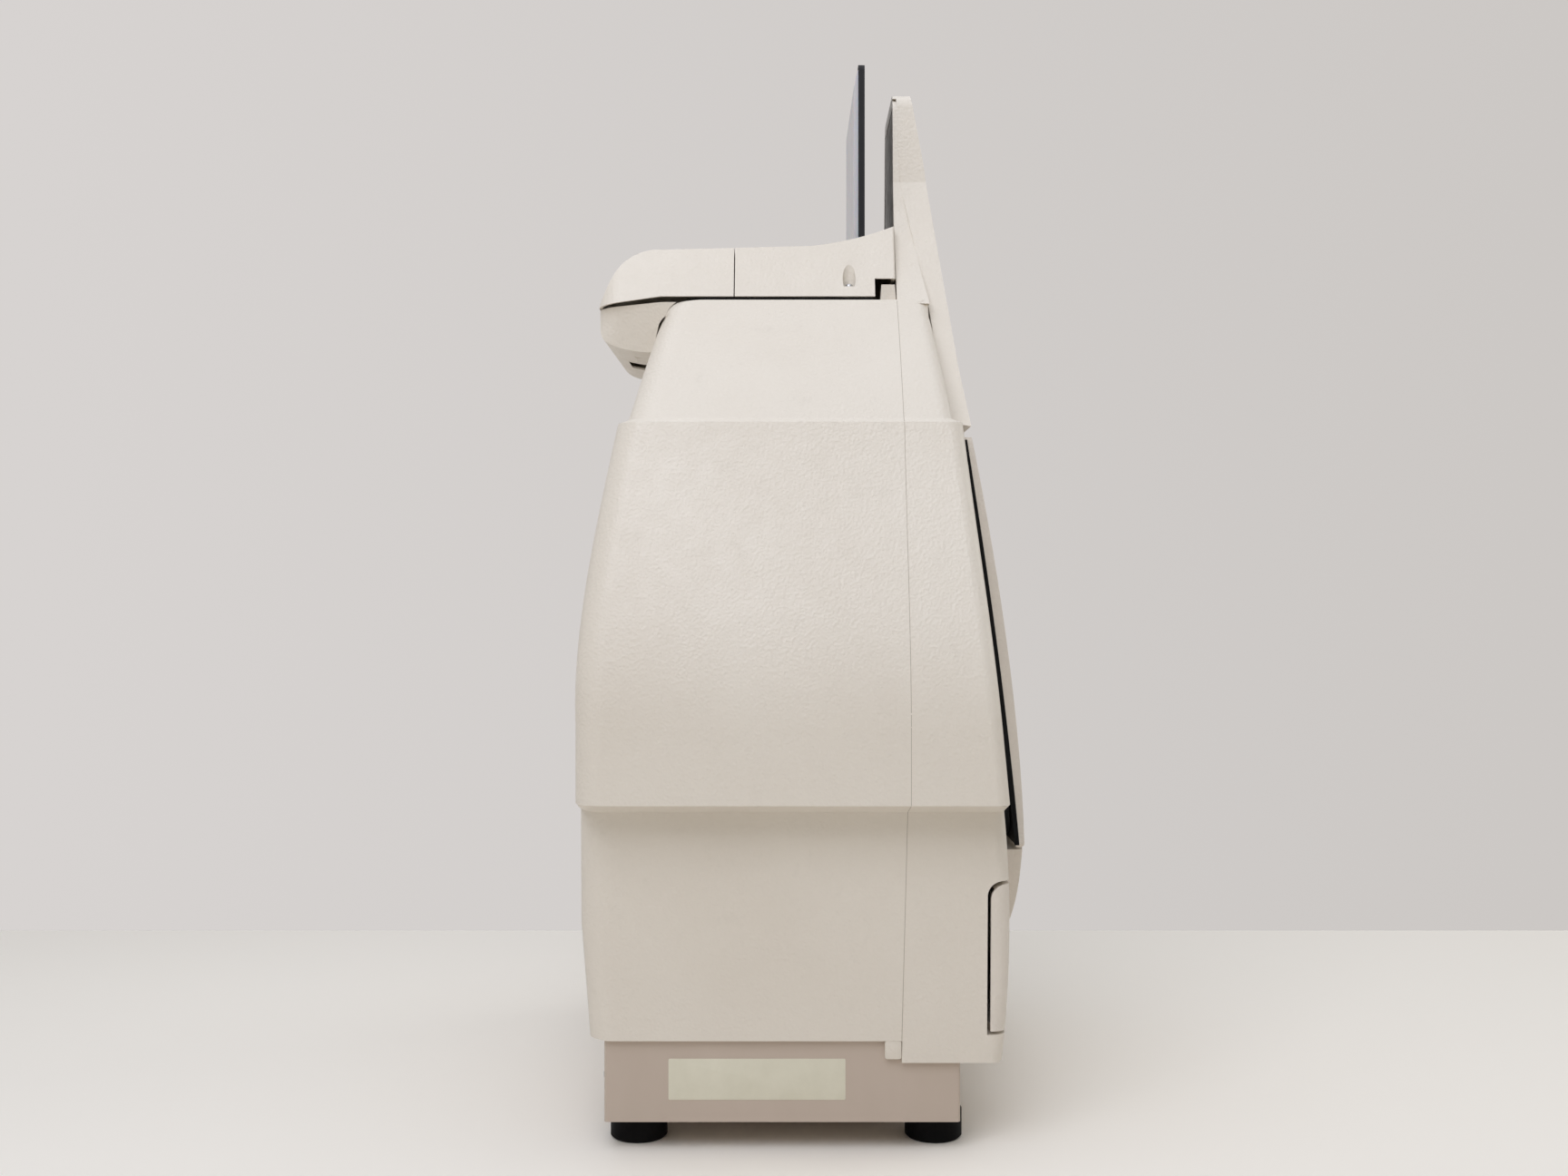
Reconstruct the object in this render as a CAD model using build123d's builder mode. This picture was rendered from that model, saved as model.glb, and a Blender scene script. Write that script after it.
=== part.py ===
from build123d import *
from math import atan2, cos, degrees, pi, sin
import os

os.makedirs("parts", exist_ok=True)

# Driving dimensions in millimetres. The cabinet stands on Z = 0, its front faces -Y
# and its middle plane is X = 0.

# Feet and sheet-metal base
foot_radius = 25
foot_height = 25
foot_half_pitch = 207
foot_front = -106.5
foot_rear = 152.7
sheet = 2
chassis_half_width = 250
chassis_front = -126
chassis_rear = 179
chassis_height = 70.5
flange_width = 30

# Moulded covers, seen from the front
wall = 4
bottom_half_width = 255
lower_half_width = 264
flare_half_width = 300
shoulder_half_width = 224
ledge = 8
neck_half_width = 130
flare_straight = 0.2

# Moulded covers, from the base upwards
lower_height = 196.5
step_height = 10
flare_height = 325
ledge_height = 4
neck_height = 119
bezel_drop = 18.5

# Moulded covers, seen from the side
seam = -80.5
seam_lean = 5.5
rear_face = 200
shoulder_rear = 172
neck_rear_bottom = 163.5
neck_rear_top = 139.5
rear_bulge_start = 0.345
face_bottom = -162
face_drawer = -168
face_flare_bottom = -163
face_shoulder = -132
face_neck_bottom = -124
face_neck_top = -110
neck_corner = 16
front_corner = 12
rear_corner = 25

# Crest and upper front panel
crest_height = 208
crest_half_width = 62
crest_root_half_width = 68
crest_root_height = 125
crest_face_root = -87
crest_face_top = -84
panel_over_crest = 5
panel_half_width = 175
panel_neck_half_width = 116
panel_face_top = -97.5
panel_face_bend = -110
panel_bend_height = 143
panel_face_neck = -129.6
panel_neck_drop = 14
panel_face_low = -135
panel_low_drop = 62
panel_face_lip = -144
back_cover_thickness = 2
back_cover_margin = 7

# Keypad
keypad_half_width = 75
keypad_height = 54
keypad_rise = 14
keypad_thickness = 2.4
keypad_sink = 1
button_count = 4
button_pitch = 32
button_width = 20
button_height = 12
button_proud = 1.6
button_travel = 1.5
button_depth = 8
button_gap = 0.4
window_half_width = 26
window_height = 24
window_rise = 98

# Darkroom door
door_bottom = 254
door_height = 363
door_half_width_top = 185
door_half_width_bottom = 215
door_edge_front = -186
door_edge_rear = -178
door_lean = 43
door_crown = 14
door_corner = 4
door_liner_thickness = 3
door_ledge = 6
opening_top = 600
opening_bottom = 276
opening_half_width_top = 164
opening_half_width_bottom = 188
opening_corner = 22
seal_gap = 0.5
seal_margin = 9
hinge_radius = 4.5
hinge_pin_radius = 2.5
hinge_length = 16
hinge_side = 6
hinge_forward = 2
hinge_inset = 36

magnet_z = 420
sensor_z = 530
magnet_width = 12
magnet_height = 40
magnet_depth = 2

# Drawer
drawer_bottom = 104
drawer_top = 230
drawer_wrap = -151
drawer_gap = 3
drawer_corner = 13
chin_top = 251
chin_bottom = 150
chin_half_width_top = 205
chin_half_width_bottom = 150
chin_edge_front = -185.5
chin_swell = 18.5
chin_rear = -160
chin_clear = -170
bay_half_width = 194
tray_half_width = 186
tray_floor = 108
tray_wall_height = 44
tray_front = -146
tray_rear = 128
rail_width = 10
rail_height = 30
rail_bottom = 118
rail_rear = 156
rail_groove = 5.5
rail_groove_height = 18
slide_gap = 0.5
case_half_width = 170
case_front = -128
case_rear = 112
case_height = 80
case_wall = 3
filter_half_width = 130
filter_half_depth = 105
filter_thickness = 5
lamp_radius = 8
lamp_count = 6
lamp_pitch = 32

# Darkroom and camera
liner_half_width = 200
liner_rear = 160
liner_top = 622
liner_gap = 1
light_width = 22
light_height = 26
light_drop = 12
light_half_length = 90
light_lenses = 8
deck_thickness = 3
camera_y = 45
aperture_radius = 30
plate_thickness = 3
wheel_radius = 72
wheel_thickness = 6
wheel_teeth = 60
pinion_teeth = 15
tooth_backlash = 0.7
filter_radius = 19
filter_pitch_radius = 45
filter_count = 5
shaft_radius = 4
shaft_gap = 0.05
wheel_lift = 6
lens_radius = 24
lens_gap_above_wheel = 8
ring_radius = 30
ring_height = 14
ring_gap = 0.05
bridge_height = 90
bridge_half_width = 42
bridge_half_length = 85
camera_half_size = 38
camera_height = 64

# Cap over the neck
cap_gap = 4
cap_half_width = 126
cap_half_width_high = 94
cap_high = 76
cap_wall = 3.5
cap_front = -79.5
cap_rear = 199
cap_corner = 22
cap_seam = 71.5
cap_seam_gap = 1
cap_notch_start = -60
cap_notch_height = 18
saddle_rise = 17
saddle_rear = -65
neck_hole_half_width = 88
neck_hole_front = -20
neck_hole_rear = 118
lid_tip = 745
cowl_gap = 2
cowl_bottom = 687
recess_y = -36
recess_radius = 6
recess_floor = 764
recess_height = 22
lid_axis_inset = 3.5
lid_knuckle_radius = 3
lid_pin_radius = 1.5
lid_knuckle_length = 14
lid_knuckle_x = 62

# Stored conversion screen
screen_front = -51.8
screen_frame_thickness = 6
screen_diffuser_thickness = 4.4
screen_half_width = 95
screen_top = 981
screen_seat = 24
screen_gap = 0.5
screen_bevel = 16

# Rear and inner electrical parts
inlet_x = 150
inlet_z = 60
inlet_width = 48
inlet_height = 28
switch_x = 95
panel_plate_z = 160
panel_plate_half_width = 70
panel_plate_height = 46
fan_x = 150
fan_z = 190
fan_half_size = 40
fan_depth = 20
fan_blades = 7
clearance = 0.3

# Heights that follow from the sizes above
chassis_top = foot_height + chassis_height
step_bottom = chassis_top + lower_height
flare_bottom = step_bottom + step_height
ledge_bottom = flare_bottom + flare_height
ledge_top = ledge_bottom + ledge_height
neck_top = ledge_top + neck_height
bezel_bottom = chassis_top - bezel_drop
crest_top = neck_top + crest_height
cap_bottom = neck_top + cap_gap
screen_bottom = cap_bottom + screen_seat


def section(height, half_width, front, rear, front_radius, rear_radius):
    """Rounded rectangle in plan, one level of a moulded cover."""
    with BuildSketch(Plane.XY.offset(height)) as outline:
        with Locations((0, (front + rear) / 2)):
            Rectangle(2 * half_width, rear - front)
        fillet(outline.vertices().group_by(Axis.Y)[0], front_radius)
        fillet(outline.vertices().group_by(Axis.Y)[-1], rear_radius)
    return outline.sketch


def between(start, end, share):
    """Value at a share of the way from start to end."""
    return start + (end - start) * share


def flare_half_width_at(rise):
    """Bell-shaped half width of the flare at a share of its height."""
    if rise <= flare_straight:
        return flare_half_width
    turn = pi * (rise - flare_straight) / (1 - flare_straight)
    return between(shoulder_half_width, flare_half_width, (1 + cos(turn)) / 2)


def flare_rear_at(rise):
    """Rear face of the flare, which leans in above its lower third."""
    lean = max(0, (rise - rear_bulge_start) / (1 - rear_bulge_start))
    return between(rear_face, shoulder_rear, lean ** 1.5)


def cover_level(height, half_width, front, rear, inset):
    """One level of both covers, moved inwards by inset on every side."""
    return section(
        height,
        half_width - inset,
        front + inset,
        rear - inset,
        max(front_corner - inset, 2),
        max(rear_corner - inset, 2),
    )


def cabinet_form(inset, bottom, top):
    """Outer form of the two covers together, or their cavity when inset is the wall."""
    step = step_bottom + inset
    flare = flare_bottom + inset
    ledge_low = ledge_bottom - inset
    ledge_high = ledge_top - inset
    drawer_level = between(bottom, step, 0.6)
    mid_width = between(bottom_half_width, lower_half_width, 0.6)
    with BuildPart() as form:
        loft([
            cover_level(bottom, bottom_half_width, face_bottom, rear_face, inset),
            cover_level(drawer_level, mid_width, face_drawer, rear_face, inset),
            cover_level(step, lower_half_width, face_flare_bottom, rear_face, inset),
        ])
        loft([
            cover_level(step, lower_half_width, face_flare_bottom, rear_face, inset),
            cover_level(flare, flare_half_width, face_flare_bottom, rear_face, inset),
        ])
        straight_top = between(flare, ledge_low, flare_straight)
        straight_face = between(face_flare_bottom, face_shoulder, flare_straight)
        loft([
            cover_level(flare, flare_half_width, face_flare_bottom, rear_face, inset),
            cover_level(straight_top, flare_half_width, straight_face, rear_face, inset),
        ])
        bell = []
        for rise in (flare_straight, 0.36, 0.52, 0.68, 0.84, 1):
            height = between(flare, ledge_low, rise)
            face = between(face_flare_bottom, face_shoulder, rise)
            bell.append(cover_level(
                height, flare_half_width_at(rise), face, flare_rear_at(rise), inset))
        loft(bell)
        loft([
            cover_level(ledge_low, shoulder_half_width, face_shoulder, shoulder_rear, inset),
            cover_level(ledge_high, shoulder_half_width - ledge, face_neck_bottom,
                        neck_rear_bottom, inset),
        ])
        corner = max(neck_corner - inset, 3)
        neck = []
        for rise in (0, 0.5, 1):
            neck.append(cover_level(
                between(ledge_high, top - corner, rise),
                between(shoulder_half_width - ledge, neck_half_width, rise ** 1.1),
                between(face_neck_bottom, face_neck_top, rise),
                between(neck_rear_bottom, neck_rear_top, rise),
                inset))
        loft(neck)
        rounding = []
        for turn in (0, pi / 6, pi / 3, pi / 2):
            rounding.append(cover_level(
                top - corner + corner * sin(turn), neck_half_width, face_neck_top,
                neck_rear_top - corner * (1 - cos(turn)), inset))
        loft(rounding)
    return form.part


def side_prism(*points):
    """Prism across the whole cabinet from an outline seen from the side, as (Y, Z)."""
    with BuildPart() as prism:
        with BuildSketch(Plane.YZ):
            with BuildLine():
                Polyline(*points, close=True)
            make_face()
        extrude(amount=flare_half_width + 20, both=True)
    return prism.part


def front_prism(top, bottom, top_half_width, bottom_half_width, corner, front, rear):
    """Prism along Y from a trapezium with rounded corners, seen from the front."""
    with BuildPart() as prism:
        with BuildSketch(Plane.XZ.offset(-rear)) as outline:
            with BuildLine():
                Polyline((-top_half_width, top), (top_half_width, top),
                         (bottom_half_width, bottom), (-bottom_half_width, bottom), close=True)
            make_face()
            fillet(outline.vertices(), corner)
        extrude(amount=rear - front)
    return prism.part


def block(x_low, x_high, y_low, y_high, z_low, z_high):
    """Plain box between two corners."""
    with BuildPart() as box:
        with Locations((x_low, y_low, z_low)):
            Box(x_high - x_low, y_high - y_low, z_high - z_low,
                align=(Align.MIN, Align.MIN, Align.MIN))
    return box.part


def finish(part, name):
    """Name one piece and write it out."""
    part.label = name
    export_step(part, f"parts/{name}.step")


# Feet
for end, foot_y in (("front", foot_front), ("rear", foot_rear)):
    for side, foot_x in (("left", -foot_half_pitch), ("right", foot_half_pitch)):
        with BuildPart() as foot:
            with Locations((foot_x, foot_y, 0)):
                Cylinder(foot_radius, foot_height, align=(Align.CENTER, Align.CENTER, Align.MIN))
            chamfer(foot.faces().sort_by(Axis.Z)[0].edges(), 2)
            fillet(foot.faces().sort_by(Axis.Z)[-1].edges(), 1)
            with Locations((foot_x, foot_y, 0)):
                CounterBoreHole(3, 9, 5, depth=foot_height)
        finish(foot.part, f"foot_{end}_{side}")

# Base: folded tray with an inward flange round its top
with BuildPart() as base_chassis:
    with Locations((0, (chassis_front + chassis_rear) / 2, foot_height)):
        Box(2 * chassis_half_width, chassis_rear - chassis_front, chassis_height,
            align=(Align.CENTER, Align.CENTER, Align.MIN))
    fillet(base_chassis.edges().filter_by(Axis.Z), 3)
    add(block(-chassis_half_width + sheet, chassis_half_width - sheet,
              chassis_front + sheet, chassis_rear - sheet,
              foot_height + sheet, chassis_top - sheet), mode=Mode.SUBTRACT)
    add(block(-chassis_half_width + flange_width, chassis_half_width - flange_width,
              chassis_front + flange_width, chassis_rear - flange_width,
              chassis_top - 2 * sheet, chassis_top + sheet), mode=Mode.SUBTRACT)
    with BuildSketch(Plane.XZ.offset(-chassis_rear - sheet)):
        with Locations((inlet_x, inlet_z), (switch_x, inlet_z)):
            Rectangle(inlet_width - 8, inlet_height - 4)
    extrude(amount=3 * sheet, mode=Mode.SUBTRACT)
    with BuildSketch(Plane.XY.offset(foot_height - sheet)):
        with GridLocations(60, 26, 4, 5):
            SlotOverall(34, 5)
    extrude(amount=3 * sheet, mode=Mode.SUBTRACT)
finish(base_chassis.part, "base_chassis")

# Deck plate that closes the base under the darkroom
deck_half_width = chassis_half_width - flange_width + 12
deck_front = chassis_front + flange_width - 26
deck_rear = chassis_rear - flange_width + 12
with BuildPart() as base_deck:
    add(block(-deck_half_width, deck_half_width, deck_front, deck_rear,
              chassis_top, chassis_top + deck_thickness))
    with Locations((0, 0, chassis_top + deck_thickness)):
        with GridLocations(2 * deck_half_width - 16, deck_rear - deck_front - 60, 2, 2):
            Hole(2.2)
finish(base_deck.part, "base_deck")

# Seam between the two covers, which leans back towards the base
front_zone = side_prism(
    (seam, crest_top + 50), (seam, flare_bottom), (seam + seam_lean, bezel_bottom - 20),
    (-400, bezel_bottom - 20), (-400, crest_top + 50))
outer_form = cabinet_form(0, chassis_top, neck_top)

# Rear cover: moulded shell with a lip on the base and a deck under the cap
lip_half_width = chassis_half_width - 15
vent_rows = 7
with BuildPart() as rear_shell:
    add(outer_form)
    add(cabinet_form(wall, chassis_top + wall, neck_top - wall), mode=Mode.SUBTRACT)
    add(block(-lip_half_width, lip_half_width, -300, deck_rear + 3,
              chassis_top - 1, chassis_top + 2 * wall), mode=Mode.SUBTRACT)
    add(front_zone, mode=Mode.SUBTRACT)
    add(block(-neck_hole_half_width, neck_hole_half_width, neck_hole_front, neck_hole_rear,
              neck_top - 2 * wall, neck_top + wall), mode=Mode.SUBTRACT)
    # Saddle behind the crest, under the notch of the cap
    with BuildSketch(Plane.XY.offset(neck_top - wall)):
        with Locations((0, (seam + saddle_rear) / 2)):
            Rectangle(2 * (neck_half_width - 14), saddle_rear - seam)
    extrude(amount=wall + saddle_rise, taper=4)
    # Opening for the connector panel, and slots for the fan
    with BuildSketch(Plane.XZ.offset(-rear_face - wall)):
        with Locations((0, panel_plate_z)):
            RectangleRounded(2 * panel_plate_half_width - 12, panel_plate_height - 12, 3)
        with Locations((fan_x, fan_z)):
            with GridLocations(1, 10, 1, vent_rows):
                SlotOverall(2 * fan_half_size - 10, 5)
    extrude(amount=3 * wall, mode=Mode.SUBTRACT)
finish(rear_shell.part, "rear_shell")


def drawer_zone(grow):
    """Side outline of the space that the wrapped drawer front takes, grown on every side."""
    with BuildPart() as prism:
        with BuildSketch(Plane.YZ) as outline:
            with BuildLine():
                Polyline((-400, drawer_bottom - grow), (drawer_wrap + grow, drawer_bottom - grow),
                         (drawer_wrap + grow, drawer_top + grow), (-400, drawer_top + grow),
                         close=True)
            make_face()
            corner = outline.vertices().group_by(Axis.X)[-1].sort_by(Axis.Y)[-1]
            fillet(corner, drawer_corner)
        extrude(amount=flare_half_width + 20, both=True)
    return prism.part


def crest_back(depth):
    """Plate let into the crest's back, from the seam plane forwards."""
    low = neck_top + 42
    root = crest_root_half_width - back_cover_margin
    with BuildPart() as plate:
        with BuildSketch(Plane.XZ.offset(-seam)):
            with BuildLine():
                Polyline((-root - 16, low), (-root, neck_top + crest_root_height),
                         (back_cover_margin - crest_half_width, crest_top - back_cover_margin),
                         (crest_half_width - back_cover_margin, crest_top - back_cover_margin),
                         (root, neck_top + crest_root_height), (root + 16, low), close=True)
            make_face()
        extrude(amount=depth)
    return plate.part


# Front cover: moulded bezel round the door and the drawer, with the crest above it
with BuildPart() as crest:
    with BuildSketch(Plane.XZ) as crest_front:
        with BuildLine():
            root = Spline((neck_half_width, neck_top - wall),
                          (between(neck_half_width, crest_root_half_width, 0.6), neck_top + 55),
                          (crest_root_half_width, neck_top + crest_root_height))
            Line(root @ 1, (crest_half_width, crest_top))
            Line((crest_half_width, crest_top), (0, crest_top))
            mirror(about=Plane.YZ)
            Line((-neck_half_width, neck_top - wall), (neck_half_width, neck_top - wall))
        make_face()
        fillet(crest_front.vertices().group_by(Axis.Y)[-1], 12)
    extrude(amount=-face_neck_top)
    add(side_prism((seam, neck_top - wall), (seam, crest_top), (crest_face_top, crest_top),
                   (crest_face_root, neck_top + crest_root_height), (face_neck_top, neck_top),
                   (face_neck_top, neck_top - wall)), mode=Mode.INTERSECT)

scoop_side = door_half_width_bottom - 8
with BuildPart() as bezel_cavity:
    add(cabinet_form(wall, bezel_bottom + wall, neck_top - wall))
    add(drawer_zone(drawer_gap + wall), mode=Mode.SUBTRACT)
bezel_form = cabinet_form(0, bezel_bottom, neck_top)
with BuildPart() as front_bezel:
    add(bezel_form)
    add(drawer_zone(drawer_gap), mode=Mode.SUBTRACT)
    add(bezel_cavity.part, mode=Mode.SUBTRACT)
    add(front_zone, mode=Mode.INTERSECT)
    add(crest.part)
    add(crest_back(back_cover_thickness), mode=Mode.SUBTRACT)
    # Finger scoop behind the free edge of the door
    add(block(-scoop_side - 30, -scoop_side + 3, face_flare_bottom + 1, -142,
              door_bottom + 1, opening_bottom + 28))
    add(front_prism(opening_bottom + 24, door_bottom + 5, 14, 14, 8, -300, -146)
        .moved(Location((-scoop_side - 14, 0, 0))), mode=Mode.SUBTRACT)
    # Openings for the door, the drawer and the base
    add(front_prism(opening_top, opening_bottom, opening_half_width_top,
                    opening_half_width_bottom, opening_corner, -300, seam + 10),
        mode=Mode.SUBTRACT)
    add(block(-bay_half_width, bay_half_width, -300, seam + 10,
              drawer_bottom + 1, tray_floor + case_height + 14), mode=Mode.SUBTRACT)
    add(block(-chassis_half_width - 1, chassis_half_width + 1, chassis_front - 1, 0,
              bezel_bottom - 20, chassis_top), mode=Mode.SUBTRACT)
finish(front_bezel.part, "front_bezel")

with BuildPart() as crest_back_cover:
    add(crest_back(back_cover_thickness - 0.5).moved(Location((0, -0.5, 0))))
finish(crest_back_cover.part, "crest_back_cover")

# Upper front panel over the neck and the crest, with the keypad's pockets
panel_top = crest_top + panel_over_crest
keypad_tilt = atan2(panel_face_bend - panel_face_neck, panel_bend_height + panel_neck_drop)
keypad_y = panel_face_neck + (keypad_rise + panel_neck_drop) * sin(keypad_tilt) / cos(keypad_tilt)
keypad_plane = Plane(origin=(0, keypad_y, neck_top + keypad_rise), x_dir=(1, 0, 0),
                     z_dir=(0, -cos(keypad_tilt), sin(keypad_tilt)))
button_places = GridLocations(button_pitch, 1, button_count, 1).locations


def on_keypad(width, height, low, high, corner, x=0, y=0):
    """Rounded plate or pocket that stands square to the panel's face."""
    with BuildPart() as plate:
        with BuildSketch(keypad_plane.offset(low)):
            with Locations((x, y)):
                RectangleRounded(width, height, corner)
        extrude(amount=high - low)
    return plate.part


with BuildPart() as upper_front_panel:
    with BuildSketch(Plane.XZ) as panel_outline:
        with BuildLine():
            Line((0, panel_top), (crest_half_width, panel_top))
            Line((crest_half_width, panel_top),
                 (crest_root_half_width - 1, neck_top + crest_root_height))
            Spline((crest_root_half_width - 1, neck_top + crest_root_height),
                   (panel_neck_half_width, neck_top), (panel_half_width, ledge_bottom + 1))
            Line((panel_half_width, ledge_bottom + 1), (0, ledge_bottom + 1))
            mirror(about=Plane.YZ)
        make_face()
        fillet(panel_outline.vertices().group_by(Axis.Y)[-1], 14)
    extrude(amount=-face_shoulder + 20)
    add(side_prism((seam, panel_top), (panel_face_top, panel_top),
                   (panel_face_bend, neck_top + panel_bend_height),
                   (panel_face_neck, neck_top - panel_neck_drop),
                   (panel_face_low, neck_top - panel_low_drop),
                   (panel_face_lip, ledge_bottom + 1),
                   (face_neck_bottom, ledge_top), (face_neck_top, neck_top),
                   (crest_face_root, neck_top + crest_root_height),
                   (crest_face_top, crest_top), (seam, crest_top)), mode=Mode.INTERSECT)
    add(on_keypad(2 * keypad_half_width, keypad_height, -keypad_sink, 20, 6),
        mode=Mode.SUBTRACT)
    add(on_keypad(2 * window_half_width, window_height, -keypad_sink, 20, 4, 0, window_rise),
        mode=Mode.SUBTRACT)
    for place in button_places:
        add(on_keypad(button_width + 2 * button_gap, button_height + 2 * button_gap,
                      -button_depth - button_travel - 0.5, 20, 3, place.position.X),
            mode=Mode.SUBTRACT)
finish(upper_front_panel.part, "upper_front_panel")

keypad_face = keypad_thickness - keypad_sink
with BuildPart() as keypad_frame:
    add(on_keypad(2 * keypad_half_width, keypad_height, -keypad_sink, keypad_face, 6))
    for place in button_places:
        add(on_keypad(button_width + 2 * button_gap, button_height + 2 * button_gap,
                      -20, 20, 3, place.position.X), mode=Mode.SUBTRACT)
finish(keypad_frame.part, "keypad_frame")

with BuildPart() as status_window:
    add(on_keypad(2 * window_half_width, window_height, -keypad_sink, keypad_face, 4,
                  0, window_rise))
finish(status_window.part, "status_window")

button_names = ("power_button", "white_light_button", "uv_light_button", "door_light_button")
for place, name in zip(button_places, button_names):
    with BuildPart() as button:
        add(on_keypad(button_width, button_height, -button_depth, keypad_face + button_proud,
                      3, place.position.X))
        fillet(button.faces().sort_by(Axis.Y)[0].edges(), 0.8)
    finish(button.part, name)


# Darkroom door: crowned front, straight sides, hollow back closed by a liner
def door_front_at(rise):
    """Front of the door's edge, which curves back towards its top."""
    return door_edge_front + door_lean * rise ** 1.65


def door_rear_at(rise):
    """Rear of the door's edge."""
    return door_edge_rear + door_lean * rise ** 1.1


def door_level(rise, inset, front, rear):
    """Plan of the door at a share of its height: a crowned front and square back."""
    half_width = between(door_half_width_bottom, door_half_width_top, rise) - inset
    with BuildSketch(Plane.XY.offset(door_bottom + rise * door_height)) as level:
        with BuildLine():
            ThreePointArc((-half_width, front), (0, front - door_crown), (half_width, front))
            Polyline((half_width, front), (half_width, rear), (-half_width, rear),
                     (-half_width, front))
        make_face()
    return level.sketch


def door_body(inset, front_inset, rear_shift, low, high):
    """Lofted solid between the door's front and a surface along its rear."""
    levels = []
    for step in range(5):
        rise = between(low, high, step / 4)
        levels.append(door_level(rise, inset, door_front_at(max(rise, 0)) + front_inset,
                                 door_rear_at(max(rise, 0)) + rear_shift))
    with BuildPart() as body:
        loft(levels)
    return body.part


def door_slab(inset, front_shift, rear_shift, low, high):
    """Flat-fronted solid that follows the rear of the door, between two shifts from it."""
    levels = []
    for step in range(5):
        rise = between(low, high, step / 4)
        half_width = between(door_half_width_bottom, door_half_width_top, rise) - inset
        rear = door_rear_at(max(rise, 0))
        with BuildSketch(Plane.XY.offset(door_bottom + rise * door_height)) as level:
            with Locations((0, rear + (front_shift + rear_shift) / 2)):
                Rectangle(2 * half_width, rear_shift - front_shift)
        levels.append(level.sketch)
    with BuildPart() as slab:
        loft(levels)
    return slab.part


# The hinge axis runs up beside the door's right edge and leans as the door does
door_top = door_bottom + door_height
hinge_low = Vector(door_half_width_bottom + hinge_side, door_edge_rear - hinge_forward, door_bottom)
hinge_high = Vector(door_half_width_top + hinge_side, door_edge_rear + door_lean - hinge_forward,
                    door_top)
hinge_line = (hinge_high - hinge_low).normalized()
hinge_across = (Vector(1, 0, 0) - hinge_line * hinge_line.X).normalized()
hinge_planes = [
    Plane(origin=hinge_low + hinge_line * hinge_inset, x_dir=hinge_across, z_dir=hinge_line),
    Plane(origin=hinge_high - hinge_line * hinge_inset, x_dir=hinge_across, z_dir=hinge_line),
]
print("door hinge passes", hinge_low, "along", hinge_line)

rebate = 3 / door_height
ledge_share = door_ledge / door_height
magnet_x = -between(opening_half_width_bottom, opening_half_width_top,
                    (magnet_z - opening_bottom) / (opening_top - opening_bottom)) - 2
with BuildPart() as door_panel:
    add(door_body(0, 0, 0, 0, 1))
    fillet(door_panel.faces().sort_by(Axis.Y)[0].edges(), door_corner)
    add(door_body(door_ledge, wall, 5, ledge_share, 1 - ledge_share), mode=Mode.SUBTRACT)
    add(door_slab(3, -door_liner_thickness, 5, rebate, 1 - rebate), mode=Mode.SUBTRACT)
    with Locations(*hinge_planes):
        with Locations((0, 0, clearance / 2)):
            Cylinder(hinge_radius, hinge_length, align=(Align.CENTER, Align.CENTER, Align.MIN))
            Box(hinge_side + 2, hinge_radius + 1, hinge_length,
                align=(Align.MAX, Align.MAX, Align.MIN))
            Cylinder(hinge_pin_radius + shaft_gap, 3 * hinge_length, mode=Mode.SUBTRACT)
finish(door_panel.part, "door_panel")

with BuildPart() as door_liner:
    add(door_slab(3, -door_liner_thickness, 0, rebate, 1 - rebate))
    add(block(magnet_x - magnet_width, magnet_x, -300, -100,
              magnet_z - magnet_height / 2, magnet_z + magnet_height / 2)
        .intersect(door_slab(3, -magnet_depth, 1, 0, 1)), mode=Mode.SUBTRACT)
finish(door_liner.part, "door_liner")

with BuildPart() as door_magnet:
    add(block(magnet_x - magnet_width, magnet_x, -300, -100,
              magnet_z - magnet_height / 2, magnet_z + magnet_height / 2))
    add(door_slab(3, -magnet_depth, 0, 0, 1), mode=Mode.INTERSECT)
finish(door_magnet.part, "door_magnet")

# What stands on the bezel's face behind the door is cut to that face and to the door's rear
door_space = door_slab(-60, -300, seal_gap, -0.05, 1.05)


def behind_door(solid):
    """Part of a solid that lies between the bezel's face and the closed door."""
    with BuildPart() as piece:
        add(solid)
        add(bezel_form, mode=Mode.SUBTRACT)
        add(door_space, mode=Mode.SUBTRACT)
    return piece.part


sensor_x = -between(opening_half_width_bottom, opening_half_width_top,
                    (sensor_z - opening_bottom) / (opening_top - opening_bottom)) - 2
catch_block = block(magnet_x - magnet_width, magnet_x, -300, seam,
                    magnet_z - magnet_height / 2, magnet_z + magnet_height / 2)
sensor_block = block(sensor_x - magnet_width, sensor_x, -300, seam,
                     sensor_z - magnet_width, sensor_z + magnet_width)
with BuildPart() as door_seal:
    add(behind_door(front_prism(
        door_top - seal_margin, door_bottom + seal_margin, door_half_width_top - seal_margin,
        door_half_width_bottom - seal_margin, opening_corner, -300, seam)))
    add(front_prism(opening_top, opening_bottom, opening_half_width_top,
                    opening_half_width_bottom, opening_corner, -310, seam + 10),
        mode=Mode.SUBTRACT)
    add(catch_block, mode=Mode.SUBTRACT)
    add(sensor_block, mode=Mode.SUBTRACT)
finish(door_seal.part, "door_seal")
finish(behind_door(catch_block), "catch_plate")
finish(behind_door(sensor_block), "door_sensor")

with BuildPart() as door_hinge_brackets:
    with Locations(*hinge_planes):
        with Locations((0, 0, -clearance / 2 - hinge_length)):
            Cylinder(hinge_radius, hinge_length, align=(Align.CENTER, Align.CENTER, Align.MIN))
            Box(2 * hinge_side - 6, 40, hinge_length, align=(Align.CENTER, Align.MIN, Align.MIN))
            Cylinder(hinge_pin_radius, 3 * hinge_length, mode=Mode.SUBTRACT)
    add(bezel_form, mode=Mode.SUBTRACT)
finish(door_hinge_brackets.part, "door_hinge_brackets")

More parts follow.
